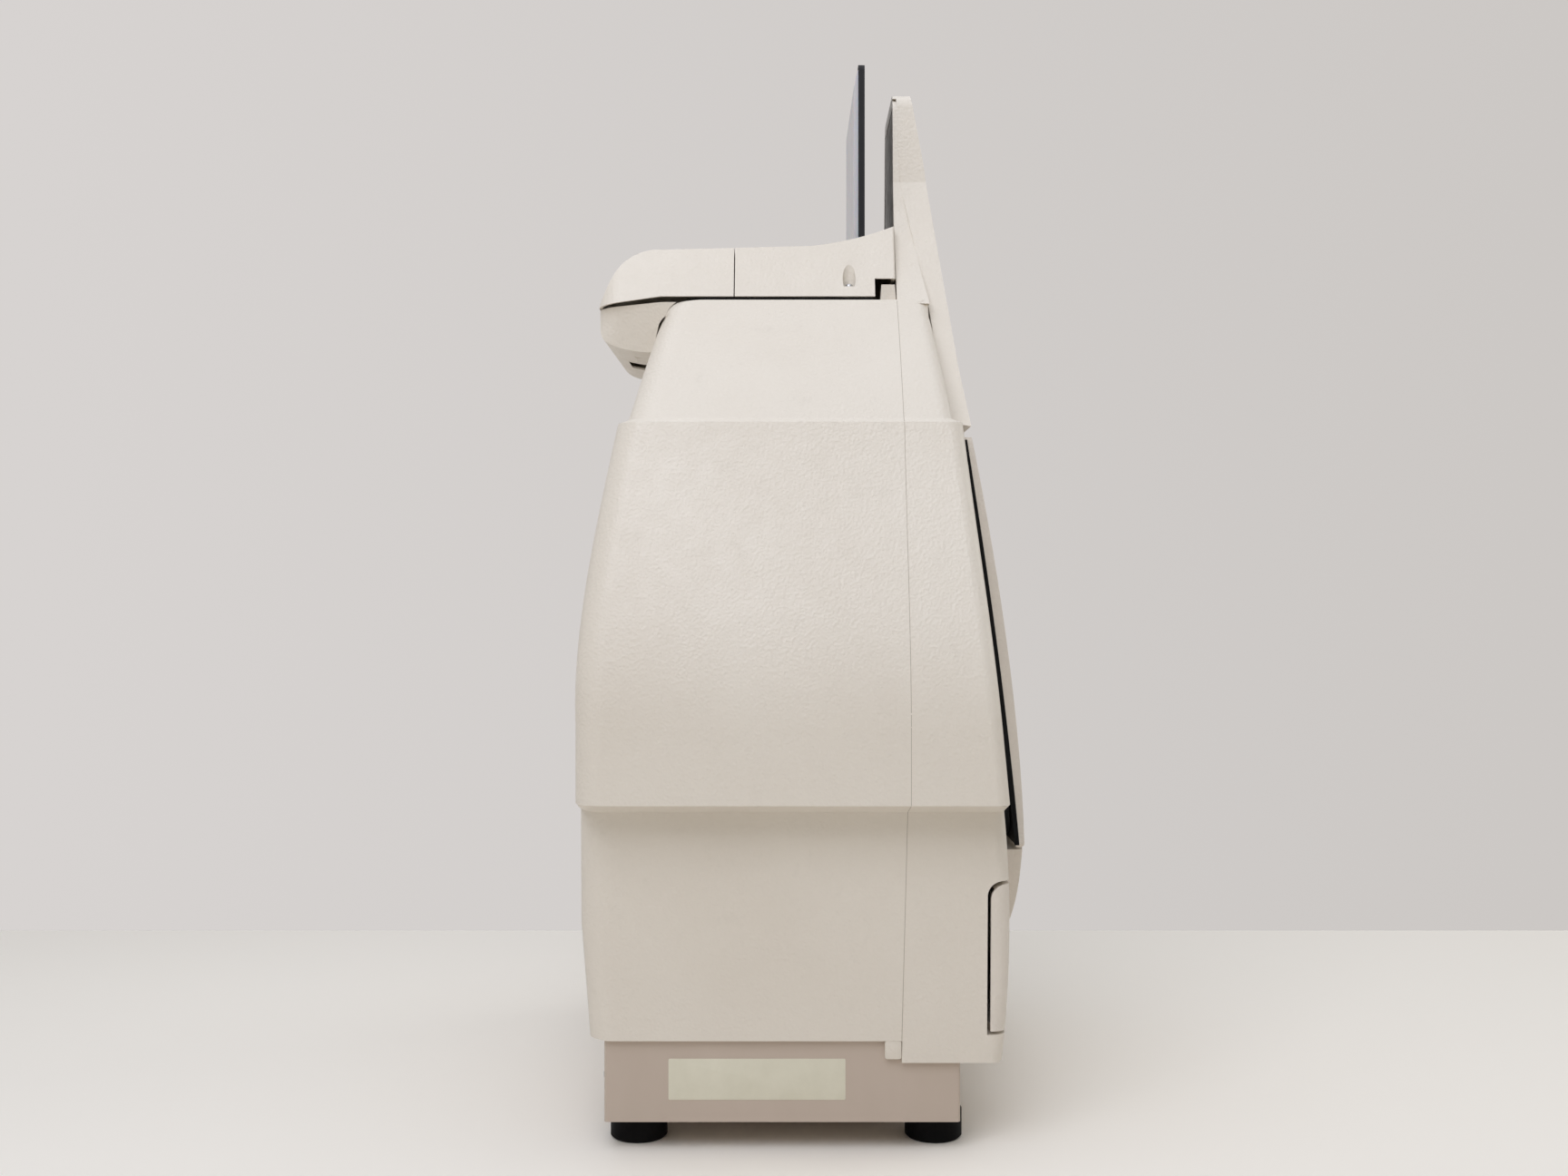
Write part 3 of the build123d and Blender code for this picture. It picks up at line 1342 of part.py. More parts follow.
with BuildPart() as fan_rotor:
    with BuildSketch(Plane.XZ.offset(-inner_rear + 2)):
        with Locations((fan_x, fan_z)):
            Circle(16)
    extrude(amount=fan_depth - 5)
    with BuildSketch(Plane.XZ.offset(-inner_rear + 3)):
        with Locations((fan_x, fan_z)):
            Circle(17)
            with PolarLocations(0, fan_blades):
                Polygon((10, -3), (fan_radius - 1.5, 2), (fan_radius - 2.5, 6), (10, 1),
                        align=None)
    extrude(amount=fan_depth - 8)
    with BuildSketch(Plane.XZ.offset(-inner_rear + 1)):
        with Locations((fan_x, fan_z)):
            Circle(fan_axle_radius + shaft_gap)
    extrude(amount=fan_depth, mode=Mode.SUBTRACT)
finish(fan_rotor.part, "fan_rotor")

# Power supply on the floor of the base
with BuildPart() as power_supply:
    add(block(-190, -70, -50, 60, foot_height + sheet, foot_height + sheet + 42))
    with BuildSketch(Plane.XY.offset(foot_height + sheet + 42)):
        with Locations((-130, 5)):
            with GridLocations(1, 10, 1, 8):
                SlotOverall(80, 4)
    extrude(amount=-4, mode=Mode.SUBTRACT)
finish(power_supply.part, "power_supply")

# Screws: in the cap's recesses, on the cowl's lugs and round the base
screw_head = 3.5
with BuildPart() as casing_screws:
    for side in (-1, 1):
        with Locations((side * (recess_x - 2), recess_y, recess_floor)):
            Cylinder(screw_head, 3, align=(Align.CENTER, Align.CENTER, Align.MIN))
    with Locations(Plane.XZ.offset(-chassis_rear)):
        for screw_x in (-chassis_half_width + 20, 0, chassis_half_width - 20):
            with Locations((screw_x, foot_height + chassis_height / 2, 0)):
                Cylinder(screw_head, 2.2, align=(Align.CENTER, Align.CENTER, Align.MAX))
    for screw_x in (-1, 1):
        for screw_z in (foot_height + 14, chassis_top - 14):
            with Locations(Plane.YZ.offset(screw_x * chassis_half_width)):
                with Locations((chassis_rear - 22, screw_z, 0)):
                    Cylinder(screw_head, 2.2, align=(
                        Align.CENTER, Align.CENTER, Align.MIN if screw_x > 0 else Align.MAX))
finish(casing_screws.part, "casing_screws")
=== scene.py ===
import math

import bmesh
import bpy
from mathutils import Matrix, Vector
from mathutils.bvhtree import BVHTree


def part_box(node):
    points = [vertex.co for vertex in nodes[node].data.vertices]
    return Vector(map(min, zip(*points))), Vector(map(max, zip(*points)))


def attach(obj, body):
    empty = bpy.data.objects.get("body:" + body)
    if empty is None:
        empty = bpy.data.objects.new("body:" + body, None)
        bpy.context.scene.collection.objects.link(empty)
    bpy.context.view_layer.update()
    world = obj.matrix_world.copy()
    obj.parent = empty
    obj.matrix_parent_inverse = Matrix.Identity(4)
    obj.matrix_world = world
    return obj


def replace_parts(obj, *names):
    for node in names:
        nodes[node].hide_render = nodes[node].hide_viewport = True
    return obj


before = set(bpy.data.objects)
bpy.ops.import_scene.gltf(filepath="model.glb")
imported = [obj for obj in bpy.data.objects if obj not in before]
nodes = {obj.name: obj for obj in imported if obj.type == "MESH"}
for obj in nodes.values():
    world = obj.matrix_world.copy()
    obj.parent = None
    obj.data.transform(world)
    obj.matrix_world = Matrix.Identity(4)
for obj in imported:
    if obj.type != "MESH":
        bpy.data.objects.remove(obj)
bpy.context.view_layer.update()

# Camera at the side of the cabinet, level, as the photograph was taken
camera_distance = 1.640
camera_side = 0.025
camera_height = 0.482
focal_pixels = 1790
image_width = 1728
sensor = 36.0

camera_data = bpy.data.cameras.new("camera")
camera_data.sensor_width = sensor
camera_data.sensor_fit = "HORIZONTAL"
camera_data.lens = focal_pixels / image_width * sensor
camera = bpy.data.objects.new("camera", camera_data)
camera.location = (-camera_distance, camera_side, camera_height)
camera.rotation_euler = (math.radians(90), 0, math.radians(-90))
bpy.context.collection.objects.link(camera)
bpy.context.scene.camera = camera


def linear(red, green, blue):
    """Linear colour from 8-bit display values."""
    values = []
    for value in (red, green, blue):
        share = value / 255
        values.append(share / 12.92 if share <= 0.04045 else ((share + 0.055) / 1.055) ** 2.4)
    return (*values, 1)


class Nodes:
    """Node tree with short calls for its textures and mixes."""

    def __init__(self, tree, place):
        self.tree = tree
        self.place = tree.nodes.new("ShaderNodeTexCoord").outputs[place]

    def stretch(self, x, y, z):
        """Texture place scaled by axis, for brushed or streaked finishes."""
        mapping = self.tree.nodes.new("ShaderNodeMapping")
        mapping.inputs["Scale"].default_value = (x, y, z)
        self.tree.links.new(self.place, mapping.inputs["Vector"])
        return mapping.outputs["Vector"]

    def noise(self, scale, detail=2.0, roughness=0.5, place=None):
        """Fractal noise between 0 and 1."""
        node = self.tree.nodes.new("ShaderNodeTexNoise")
        node.inputs["Scale"].default_value = scale
        node.inputs["Detail"].default_value = detail
        node.inputs["Roughness"].default_value = roughness
        self.tree.links.new(place or self.place, node.inputs["Vector"])
        return node.outputs["Fac"]

    def cells(self, scale):
        """Distance to the nearest of many small rounded cells."""
        node = self.tree.nodes.new("ShaderNodeTexVoronoi")
        node.feature = "SMOOTH_F1"
        node.inputs["Scale"].default_value = scale
        self.tree.links.new(self.place, node.inputs["Vector"])
        return node.outputs["Distance"]

    def ramp(self, factor, *stops):
        """Colour ramp: each stop is a position and a linear colour."""
        node = self.tree.nodes.new("ShaderNodeValToRGB")
        while len(node.color_ramp.elements) < len(stops):
            node.color_ramp.elements.new(0.5)
        for element, (position, colour) in zip(node.color_ramp.elements, stops):
            element.position = position
            element.color = colour
        self.tree.links.new(factor, node.inputs["Fac"])
        return node.outputs["Color"]

    def mix(self, factor, first, second, blend="MIX"):
        """Two colours mixed by a factor: each is a number, a colour or an output."""
        node = self.tree.nodes.new("ShaderNodeMix")
        node.data_type = "RGBA"
        node.blend_type = blend
        factor_socket, first_socket, second_socket = node.inputs[0], node.inputs[6], node.inputs[7]
        for socket, value in ((factor_socket, factor), (first_socket, first),
                              (second_socket, second)):
            if hasattr(value, "links"):
                self.tree.links.new(value, socket)
            else:
                socket.default_value = value
        return node.outputs[2]

    def scaled(self, factor, low, high, start=0.0, end=1.0):
        """Output carried from start and end to low and high, and kept between them."""
        node = self.tree.nodes.new("ShaderNodeMapRange")
        for name, value in (("From Min", start), ("From Max", end), ("To Min", low),
                            ("To Max", high)):
            node.inputs[name].default_value = value
        self.tree.links.new(factor, node.inputs["Value"])
        return node.outputs["Result"]

    def axis(self, name):
        """One coordinate of the place: X, Y or Z."""
        split = self.tree.nodes.new("ShaderNodeSeparateXYZ")
        self.tree.links.new(self.place, split.inputs["Vector"])
        return split.outputs[name]


class Material(Nodes):
    """Node material: textures that drive the colour, roughness and relief of one shader."""

    def __init__(self, name):
        self.material = bpy.data.materials.new(name)
        self.material.use_nodes = True
        super().__init__(self.material.node_tree, "Object")
        self.shader = self.tree.nodes["Principled BSDF"]

    def set(self, **values):
        """Values on the shader's own sockets, an underscore for each space."""
        for name, value in values.items():
            self.shader.inputs[name.replace("_", " ")].default_value = value
        return self

    def edges(self, low=0.5, high=0.56):
        """1 on outer edges and corners, 0 elsewhere."""
        geometry = self.tree.nodes.new("ShaderNodeNewGeometry")
        return self.scaled(geometry.outputs["Pointiness"], 0, 1, low, high)

    def colour(self, output):
        self.tree.links.new(output, self.shader.inputs["Base Color"])
        return self

    def rough(self, output):
        self.tree.links.new(output, self.shader.inputs["Roughness"])
        return self

    def bump(self, *layers):
        """Layers of relief: texture output, depth in metres and strength."""
        normal = None
        for output, depth, strength in layers:
            node = self.tree.nodes.new("ShaderNodeBump")
            node.inputs["Distance"].default_value = depth
            node.inputs["Strength"].default_value = strength
            self.tree.links.new(output, node.inputs["Height"])
            if normal:
                self.tree.links.new(normal, node.inputs["Normal"])
            normal = node.outputs["Normal"]
        self.tree.links.new(normal, self.shader.inputs["Normal"])
        return self


def grained_plastic(name, light, dark, grain=390, depth=0.00045, low=0.34, high=0.48, marks=0.25):
    """Moulded plastic: fine grain, cloudy tone, a little handling dirt and a painted highlight on
    outer edges.
    """
    made = Material(name)
    cloud = made.noise(5, 3)
    tone = made.ramp(cloud, (0.3, dark), (0.7, light))
    scuffs = made.scaled(made.noise(38, 5, 0.7), 0, marks, 0.6, 0.75)
    soiled = made.mix(scuffs, tone, tuple(0.82 * part for part in dark[:3]) + (1,))
    # Painted highlight: outer edges and corners lightened towards the light tone
    plastic_edge_highlight = made.mix(made.scaled(made.edges(), 0, 0.3), soiled, light)
    made.colour(plastic_edge_highlight)
    made.rough(made.scaled(made.noise(60, 4), low, high, 0.3, 0.7))
    made.bump((made.cells(grain), depth, 0.75), (made.noise(1.6 * grain, 2), 0.6 * depth, 0.5))
    return made.set(IOR=1.49)


def painted_metal(name, light, dark, peel=900, depth=0.00005, low=0.38, high=0.5):
    """Powder-coated sheet metal: orange peel, slight streaks and a painted highlight on outer
    edges.
    """
    made = Material(name)
    streaks = made.noise(14, 4, 0.6, made.stretch(1, 1, 0.35))
    tone = made.ramp(streaks, (0.3, dark), (0.7, light))
    # Painted highlight: outer edges lightened towards the light tone
    metal_edge_highlight = made.mix(made.scaled(made.edges(0.52, 0.6), 0, 0.35), tone, light)
    made.colour(metal_edge_highlight)
    made.rough(made.scaled(made.noise(45, 3), low, high, 0.3, 0.7))
    made.bump((made.noise(peel, 2), depth, 0.4))
    return made.set(IOR=1.5)


def bare_metal(name, light, dark, stretch, low=0.22, high=0.42):
    """Drawn or turned metal with fine lines along one direction."""
    made = Material(name)
    lines = made.noise(120, 4, 0.65, made.stretch(*stretch))
    made.colour(made.ramp(lines, (0.25, dark), (0.75, light)))
    made.rough(made.scaled(made.noise(40, 3), low, high, 0.3, 0.7))
    made.bump((lines, 0.00003, 0.35))
    return made.set(Metallic=1.0)


def glass(name, tint, roughness=0.04, smudge=0.1):
    """Clear or tinted glass with faint smears."""
    made = Material(name)
    made.colour(made.ramp(made.noise(30, 3), (0.3, tint), (0.8, tuple(
        min(1, 1.08 * part) for part in tint[:3]) + (1,))))
    made.rough(made.scaled(made.noise(22, 4, 0.6), roughness, roughness + smudge, 0.45, 0.8))
    made.bump((made.noise(60, 2), 0.00001, 0.2))
    return made.set(Transmission_Weight=0.92, IOR=1.5)


# Finishes of the visible pieces and of what they hold
cover = grained_plastic("cover_plastic", linear(226, 219, 207), linear(220, 212, 199))
door_cover = grained_plastic("door_plastic", linear(225, 217, 206), linear(219, 211, 199))
base_paint = painted_metal("base_paint", linear(192, 177, 163), linear(185, 170, 155))
liner_paint = painted_metal("liner_paint", linear(30, 30, 31), linear(22, 22, 23),
                            low=0.55, high=0.7)
case_paint = painted_metal("case_paint", linear(196, 194, 188), linear(186, 184, 178))
dark_plastic = grained_plastic("dark_plastic", linear(40, 40, 42), linear(31, 31, 33), grain=1100,
                               depth=0.00006, marks=0.1)
crest_plastic = grained_plastic("crest_plastic", linear(98, 88, 78), linear(86, 77, 68),
                                grain=1000, depth=0.00006, marks=0.1)
keypad_plastic = grained_plastic("keypad_plastic", linear(118, 112, 104), linear(108, 102, 95),
                                 grain=1300, depth=0.00004, marks=0.1)
button_plastic = grained_plastic("button_plastic", linear(206, 202, 194), linear(198, 193, 184),
                                 grain=1600, depth=0.00003, low=0.32, high=0.42)
rubber = grained_plastic("foot_rubber", linear(13, 13, 14), linear(8, 8, 9), grain=1400,
                         depth=0.00006, low=0.6, high=0.75, marks=0.3)
rubber.set(Specular_IOR_Level=0.1)
screen_black = grained_plastic("screen_black", linear(17, 17, 20), linear(12, 12, 15), grain=1500,
                               depth=0.00003, low=0.45, high=0.6, marks=0.1)
screen_black.set(Specular_IOR_Level=0.3)
gap_black = grained_plastic("gap_black", linear(12, 12, 13), linear(8, 8, 9), grain=1100,
                            depth=0.00004, low=0.7, high=0.85, marks=0.1)
gap_black.set(Specular_IOR_Level=0.2)
foam = Material("seal_foam")
foam.colour(foam.ramp(foam.cells(900), (0.1, linear(14, 14, 15)), (0.8, linear(38, 38, 39))))
foam.rough(foam.scaled(foam.noise(300, 2), 0.85, 1.0))
foam.bump((foam.cells(900), 0.0004, 0.7))
sensor_plastic = grained_plastic("sensor_plastic", linear(52, 54, 58), linear(42, 44, 48),
                                 grain=1500, depth=0.00003)
steel_x = bare_metal("steel_across", linear(196, 197, 199), linear(168, 170, 173), (1, 30, 30))
steel_y = bare_metal("steel_along", linear(196, 197, 199), linear(168, 170, 173), (30, 1, 30))
steel_z = bare_metal("steel_upright", linear(192, 193, 196), linear(164, 166, 170), (30, 30, 1))
turned = bare_metal("turned_metal", linear(72, 74, 78), linear(50, 52, 56), (4, 4, 60),
                    low=0.3, high=0.45)
anodised = bare_metal("anodised_metal", linear(46, 47, 50), linear(33, 34, 37), (6, 6, 40),
                      low=0.38, high=0.52)
diffuser = grained_plastic("diffuser_plastic", linear(198, 198, 202), linear(188, 188, 193),
                           grain=1800, depth=0.00002, low=0.3, high=0.4, marks=0.1)
diffuser.set(Subsurface_Weight=0.3, Subsurface_Scale=0.004)
window = Material("window_plastic")
window.colour(window.ramp(window.noise(12, 2), (0.3, linear(44, 40, 38)),
                          (0.7, linear(54, 49, 46))))
window.rough(window.scaled(window.noise(30, 4), 0.08, 0.2, 0.4, 0.8))
window.bump((window.noise(90, 2), 0.00001, 0.15))
window.set(Coat_Weight=0.6, Coat_Roughness=0.05)
uv_glass = glass("uv_glass", linear(52, 38, 74), 0.05)
lamp_glass = glass("lamp_glass", linear(226, 226, 236), 0.12, smudge=0.2)
filter_amber = glass("filter_amber", linear(214, 120, 40))
lens_glass = glass("lens_glass", linear(120, 110, 160), 0.02)
label_paper = Material("label_paper")
label_paper.colour(label_paper.ramp(label_paper.noise(40, 4, 0.6),
                                    (0.3, linear(214, 210, 190)), (0.7, linear(221, 217, 198))))
label_paper.rough(label_paper.scaled(label_paper.noise(70, 3), 0.4, 0.55, 0.3, 0.7))
label_paper.bump((label_paper.noise(700, 2), 0.00002, 0.3))

# Darker copy of the cover plastic: painted shade in the seam between the covers
seam_shade = grained_plastic("seam_shade", linear(178, 169, 156), linear(168, 159, 146),
                             grain=900, depth=0.00004, low=0.6, high=0.75, marks=0.1)
indicator_green = glass("indicator_green", linear(96, 176, 92), 0.15)
indicator_amber = glass("indicator_amber", linear(226, 150, 62), 0.15)

# Finish of each CAD node
finishes = {
    "rear_shell": cover, "front_bezel": cover, "upper_front_panel": cover, "door_panel": door_cover,
    "drawer_front": door_cover, "top_cover_front": cover, "camera_cover": cover,
    "rear_cowl": cover,
    "base_chassis": base_paint, "base_deck": base_paint,
    "foot_front_left": rubber, "foot_front_right": rubber,
    "foot_rear_left": rubber, "foot_rear_right": rubber,
    "darkroom_liner": liner_paint, "camera_plate": liner_paint, "camera_bridge": liner_paint,
    "motor_bracket": liner_paint, "drawer_tray": liner_paint,
    "crest_back_cover": crest_plastic, "keypad_frame": keypad_plastic,
    "door_liner": dark_plastic, "mains_inlet": dark_plastic, "switch_housing": dark_plastic,
    "power_rocker": dark_plastic, "fan_frame": dark_plastic, "fan_rotor": dark_plastic,
    "conversion_screen_frame": screen_black, "focus_ring": dark_plastic,
    "zoom_ring": dark_plastic, "filter_pinion": dark_plastic,
    "power_button": button_plastic, "white_light_button": button_plastic,
    "uv_light_button": button_plastic, "door_light_button": button_plastic,
    "status_window": window, "door_seal": foam, "door_sensor": sensor_plastic,
    "drawer_rails": steel_y, "drawer_slides": steel_y, "door_hinge_pins": steel_z,
    "lid_hinge_pins": steel_x, "casing_screws": steel_x, "catch_plate": steel_z,
    "door_magnet": steel_z, "filter_wheel_shaft": steel_z, "power_supply": steel_y,
    "connector_panel": steel_x, "door_hinge_brackets": steel_z,
    "filter_wheel": turned, "lens_barrel": turned, "camera_body": anodised,
    "filter_motor": anodised, "filters": filter_amber, "uv_filter_glass": uv_glass,
    "uv_lamps": lamp_glass, "transilluminator_case": case_paint, "lamp_ballast": case_paint,
    "epi_lights": case_paint, "conversion_screen_diffuser": diffuser,
}
for name, node in nodes.items():
    finish = finishes[name].material
    if not node.material_slots:
        node.data.materials.append(None)
    for place in node.material_slots:
        place.material = finish


def piece(name, mesh, body, finish, smooth=35):
    """New mesh piece on a body, with its finish in its material slot."""
    made = bpy.data.meshes.new(name)
    mesh.to_mesh(made)
    mesh.free()
    item = bpy.data.objects.new(name, made)
    bpy.context.collection.objects.link(item)
    made.materials.append(finish.material)
    for face in made.polygons:
        face.use_smooth = True
    made.set_sharp_from_angle(angle=math.radians(smooth))
    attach(item, body)
    return item


def rounded_plate(mesh, width, height, thickness, corner, place, bevel=0.0, steps=6):
    """Plate with rounded corners in the place's XY plane, standing on its Z = 0."""
    outline = []
    for centre_x, centre_y, start in ((1, 1, 0), (-1, 1, 90), (-1, -1, 180), (1, -1, 270)):
        for step in range(steps + 1):
            angle = math.radians(start + 90 * step / steps)
            outline.append((centre_x * (width / 2 - corner) + corner * math.cos(angle),
                            centre_y * (height / 2 - corner) + corner * math.sin(angle)))
    levels = [(0, 0), (thickness - bevel, 0)]
    if bevel:
        levels += [(thickness - 0.3 * bevel, 0.3 * bevel), (thickness, bevel)]
    rings = []
    for level, inset in levels:
        ring = []
        for x, y in outline:
            spot = Vector((x - math.copysign(inset, x), y - math.copysign(inset, y), level))
            ring.append(mesh.verts.new(place @ spot))
        rings.append(ring)
    for low, high in zip(rings, rings[1:]):
        for index in range(len(low)):
            after = (index + 1) % len(low)
            mesh.faces.new((low[index], low[after], high[after], high[index]))
    mesh.faces.new(rings[0][::-1])
    mesh.faces.new(rings[-1])


def swept(mesh, rings):
    """Closed strip through rings of equal size, capped at both ends."""
    made = [[mesh.verts.new(spot) for spot in ring] for ring in rings]
    for low, high in zip(made, made[1:]):
        for index in range(len(low)):
            after = (index + 1) % len(low)
            mesh.faces.new((low[index], low[after], high[after], high[index]))
    mesh.faces.new(made[0][::-1])
    mesh.faces.new(made[-1])
    bmesh.ops.recalc_face_normals(mesh, faces=mesh.faces)


def dome(mesh, place, radius, rise, steps=5, around=24):
    """Low dome that stands on the place's XY plane."""
    rings = [[place @ Vector((radius * math.cos(turn), radius * math.sin(turn), -rise / 2))
              for turn in (2 * math.pi * index / around for index in range(around))]]
    for step in range(steps + 1):
        lift = math.radians(85 * step / steps)
        rings.append([place @ Vector((radius * math.cos(lift) * math.cos(turn),
                                      radius * math.cos(lift) * math.sin(turn),
                                      rise * math.sin(lift)))
                      for turn in (2 * math.pi * index / around for index in range(around))])
    swept(mesh, rings)


def reshaped(name, body, finish, move):
    """Copy of a CAD node with its points moved, shown in the node's place."""
    data = nodes[name].data.copy()
    for vertex in data.vertices:
        vertex.co = move(vertex.co)
    item = bpy.data.objects.new(f"{name}_shaped", data)
    bpy.context.collection.objects.link(item)
    for index in range(len(data.materials)):
        data.materials[index] = finish.material
    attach(item, body)
    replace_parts(item, name)
    return item


def surface(item):
    """Search tree of a piece's faces."""
    return BVHTree.FromPolygons([vertex.co for vertex in item.data.vertices],
                                [face.vertices for face in item.data.polygons])


def share_of(value, low, high):
    """How far a value is from low to high, kept between 0 and 1."""
    return min(1, max(0, (value - low) / (high - low)))


# Covers and cowl in shapes set against the photograph, while the CAD nodes keep the collisions.
# First the levels and half widths of the two covers, as the CAD nodes have them.
flare_start, flare_end, neck_start, neck_bend, neck_end = 0.302, 0.627, 0.631, 0.734, 0.750
flare_half, shoulder_half, neck_foot_half, neck_half = 0.300, 0.224, 0.216, 0.130
flare_straight, neck_power = 0.2, 1.1

# Then what is changed: the flare's slant, the neck up to its rim and the hem at the rear
flare_slant, slant_power = 0.6, 1.5
neck_inner, neck_wall = 0.116, 0.006
hem_low, hem_high, hem_depth = 0.0955, 0.1195, 0.007
hem_front, hem_start, hem_full = 0.1, 0.16, 0.19


def bell_half(level, slant):
    """Half width of the flare: a cosine bell, mixed with a steady slant."""
    share = share_of(share_of(level, flare_start, flare_end), flare_straight, 1)
    bell = (1 - math.cos(math.pi * share)) / 2
    drawn = (1 - slant) * bell + slant * share ** slant_power
    return flare_half + (shoulder_half - flare_half) * drawn


def neck_half_at(level, top):
    """Half width of the neck when it narrows up to the given top."""
    share = share_of(level, neck_start, top)
    return neck_foot_half + (neck_half - neck_foot_half) * share ** neck_power


def cover_shape(spot):
    """Point of a cover on a slightly slanted flare, a straight neck and a rounded rear hem."""
    x, y, z = spot
    if flare_start < z < flare_end:
        x *= bell_half(z, flare_slant) / bell_half(z, 0)
    elif neck_start < z <= neck_end:
        old, new = neck_half_at(z, neck_bend), neck_half_at(z, neck_end)
        x += math.copysign((new - old) * share_of(abs(x), neck_inner, old - neck_wall), x)
    if z < hem_high and y > hem_front:
        share = share_of(z, hem_low, hem_high)
        arc = 1 - math.sqrt(1 - (1 - share) ** 2)
        y -= hem_depth * arc * share_of(y, hem_start, hem_full)
    return Vector((x, y, z))


cowl_rim, cowl_low, cowl_shown_low = 0.745, 0.687, 0.7035
cowl_fullness, fullness_power, cowl_back_start, cowl_back_full = 0.006, 2.5, 0.15, 0.17
neck_slope, cowl_rear, cowl_depth = 0.233, 0.199, 0.05


def cowl_shape(spot):
    """Point of the cowl, drawn up towards its rim and kept on the sloping neck."""
    x, y, z = spot
    if z > cowl_rim:
        return Vector(spot)
    raised = cowl_rim - (cowl_rim - z) * (cowl_rim - cowl_shown_low) / (cowl_rim - cowl_low)
    drop = share_of(cowl_rim - raised, 0, cowl_rim - cowl_shown_low)
    fullness = cowl_fullness * math.sin(math.pi * drop ** fullness_power)
    y += fullness * share_of(y, cowl_back_start, cowl_back_full)
    y -= neck_slope * (raised - z) * share_of(cowl_rear - y, 0, cowl_depth)
    return Vector((x, y, raised))


rear_cover = reshaped("rear_shell", "root", cover, cover_shape)
front_cover = reshaped("front_bezel", "root", cover, cover_shape)
reshaped("rear_cowl", "root", cover, cowl_shape)

# Bare plate on the side of the base
plate_front, plate_rear = -0.0276, 0.1239
plate_low, plate_high = 0.0440, 0.0792
plate_thickness, plate_corner, plate_bevel = 0.0003, 0.0012, 0.0001
base_low, base_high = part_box("base_chassis")
plate = bmesh.new()
plate_place = (Matrix.Translation((base_low.x, (plate_front + plate_rear) / 2,
                                   (plate_low + plate_high) / 2))
               @ Matrix.Rotation(math.radians(-90), 4, "Y")
               @ Matrix.Rotation(math.radians(90), 4, "Z"))
rounded_plate(plate, plate_rear - plate_front, plate_high - plate_low, plate_thickness,
              plate_corner, plate_place, bevel=plate_bevel)
piece("base_label_plate", plate, "root", label_paper)

# Seam between the two covers: a strip of painted shade along the gap, with the bezel's raised edge
# in front of it
seam_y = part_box("rear_shell")[0].y
seam_bottom, seam_bend, seam_top = 0.0965, 0.302, 0.7485
seam_lean = 0.02245
seam_step, corner_step = 0.004, 0.0003
ledge_bottom = 0.292
seam_sink, ray_start = 0.0004, 0.5
gap_shift, gap_width, gap_proud = 0.0004, 0.0005, 0.00003
edge_shift, edge_width, edge_proud = -0.0006, 0.0007, 0.00005
seam_levels = [seam_bottom + seam_step * index
               for index in range(int((seam_top - seam_bottom) / seam_step) + 1)]
for level in (ledge_bottom, flare_start, flare_end, neck_start, neck_bend, seam_top):
    seam_levels += [level - corner_step, level + corner_step]


def seam_strip(mesh, tree, side, shift, width, proud):
    """Thin strip along a cover's outline, at a shift behind the seam and proud of the face."""
    rings = []
    for level in sorted(seam_levels):
        y = seam_y + seam_lean * max(0, seam_bend - level) + shift
        spot, normal, _, _ = tree.ray_cast(Vector((side * ray_start, y, level)),
                                           Vector((-side, 0, 0)))
        if spot is None:
            continue
        out = Vector((normal.x, 0, normal.z)).normalized()
        across = Vector((0, width / 2, 0))
        rings.append([spot - across - seam_sink * out, spot - across + proud * out,
                      spot + across + proud * out, spot + across - seam_sink * out])
    swept(mesh, rings)


shell_surface, bezel_surface = surface(rear_cover), surface(front_cover)
for side, name in ((-1, "left"), (1, "right")):
    gap = bmesh.new()
    seam_strip(gap, shell_surface, side, gap_shift, gap_width, gap_proud)
    piece(f"seam_gap_{name}", gap, "root", seam_shade)
    edge = bmesh.new()
    seam_strip(edge, bezel_surface, side, edge_shift, edge_width, edge_proud)
    piece(f"seam_edge_{name}", edge, "root", cover)

# Tab of the rear cover beside the base, at the foot of the seam
tab_rear, tab_low, tab_high = -0.0610, 0.0797, 0.0962
tab_front = seam_y + seam_lean * (seam_bend - tab_low)
tab_thickness, tab_corner, tab_bevel, tab_clearance = 0.0046, 0.0022, 0.0012, 0.0002
for side, name in ((-1, "left"), (1, "right")):
    tab = bmesh.new()
    tab_place = (Matrix.Translation((side * (abs(base_low.x) + tab_clearance),
                                     (tab_front + tab_rear) / 2, (tab_low + tab_high) / 2))
                 @ Matrix.Rotation(math.radians(90 * side), 4, "Y")
                 @ Matrix.Rotation(math.radians(90), 4, "Z"))
    rounded_plate(tab, tab_rear - tab_front, tab_high - tab_low, tab_thickness, tab_corner,
                  tab_place, bevel=tab_bevel)
    piece(f"seam_tab_{name}", tab, "root", cover)

# Foam strip in the gap between the neck and the cap
neck_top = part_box("top_cover_front")[0].z
strip_half, strip_front, strip_rear, strip_corner = 0.1223, -0.058, 0.1155, 0.017
strip_height, strip_thickness, strip_steps = 0.0036, 0.0006, 8
strip_path = [(-strip_half, strip_front, 180)]
for step in range(strip_steps + 1):
    turn = 180 - 90 * step / strip_steps
    strip_path.append((-strip_half + strip_corner + strip_corner * math.cos(math.radians(turn)),
                       strip_rear - strip_corner + strip_corner * math.sin(math.radians(turn)),
                       turn))
strip_path += [(-x, y, 180 - turn) for x, y, turn in reversed(strip_path)]
strip = bmesh.new()
strip_rings = []
for x, y, turn in strip_path:
    out = Vector((math.cos(math.radians(turn)), math.sin(math.radians(turn)), 0))
    outer, inner = Vector((x, y, neck_top)), Vector((x, y, neck_top)) - strip_thickness * out
    rise = Vector((0, 0, strip_height))
    strip_rings.append([inner, outer, outer + rise, inner + rise])
swept(strip, strip_rings)
piece("cap_gap_foam", strip, "root", foam)

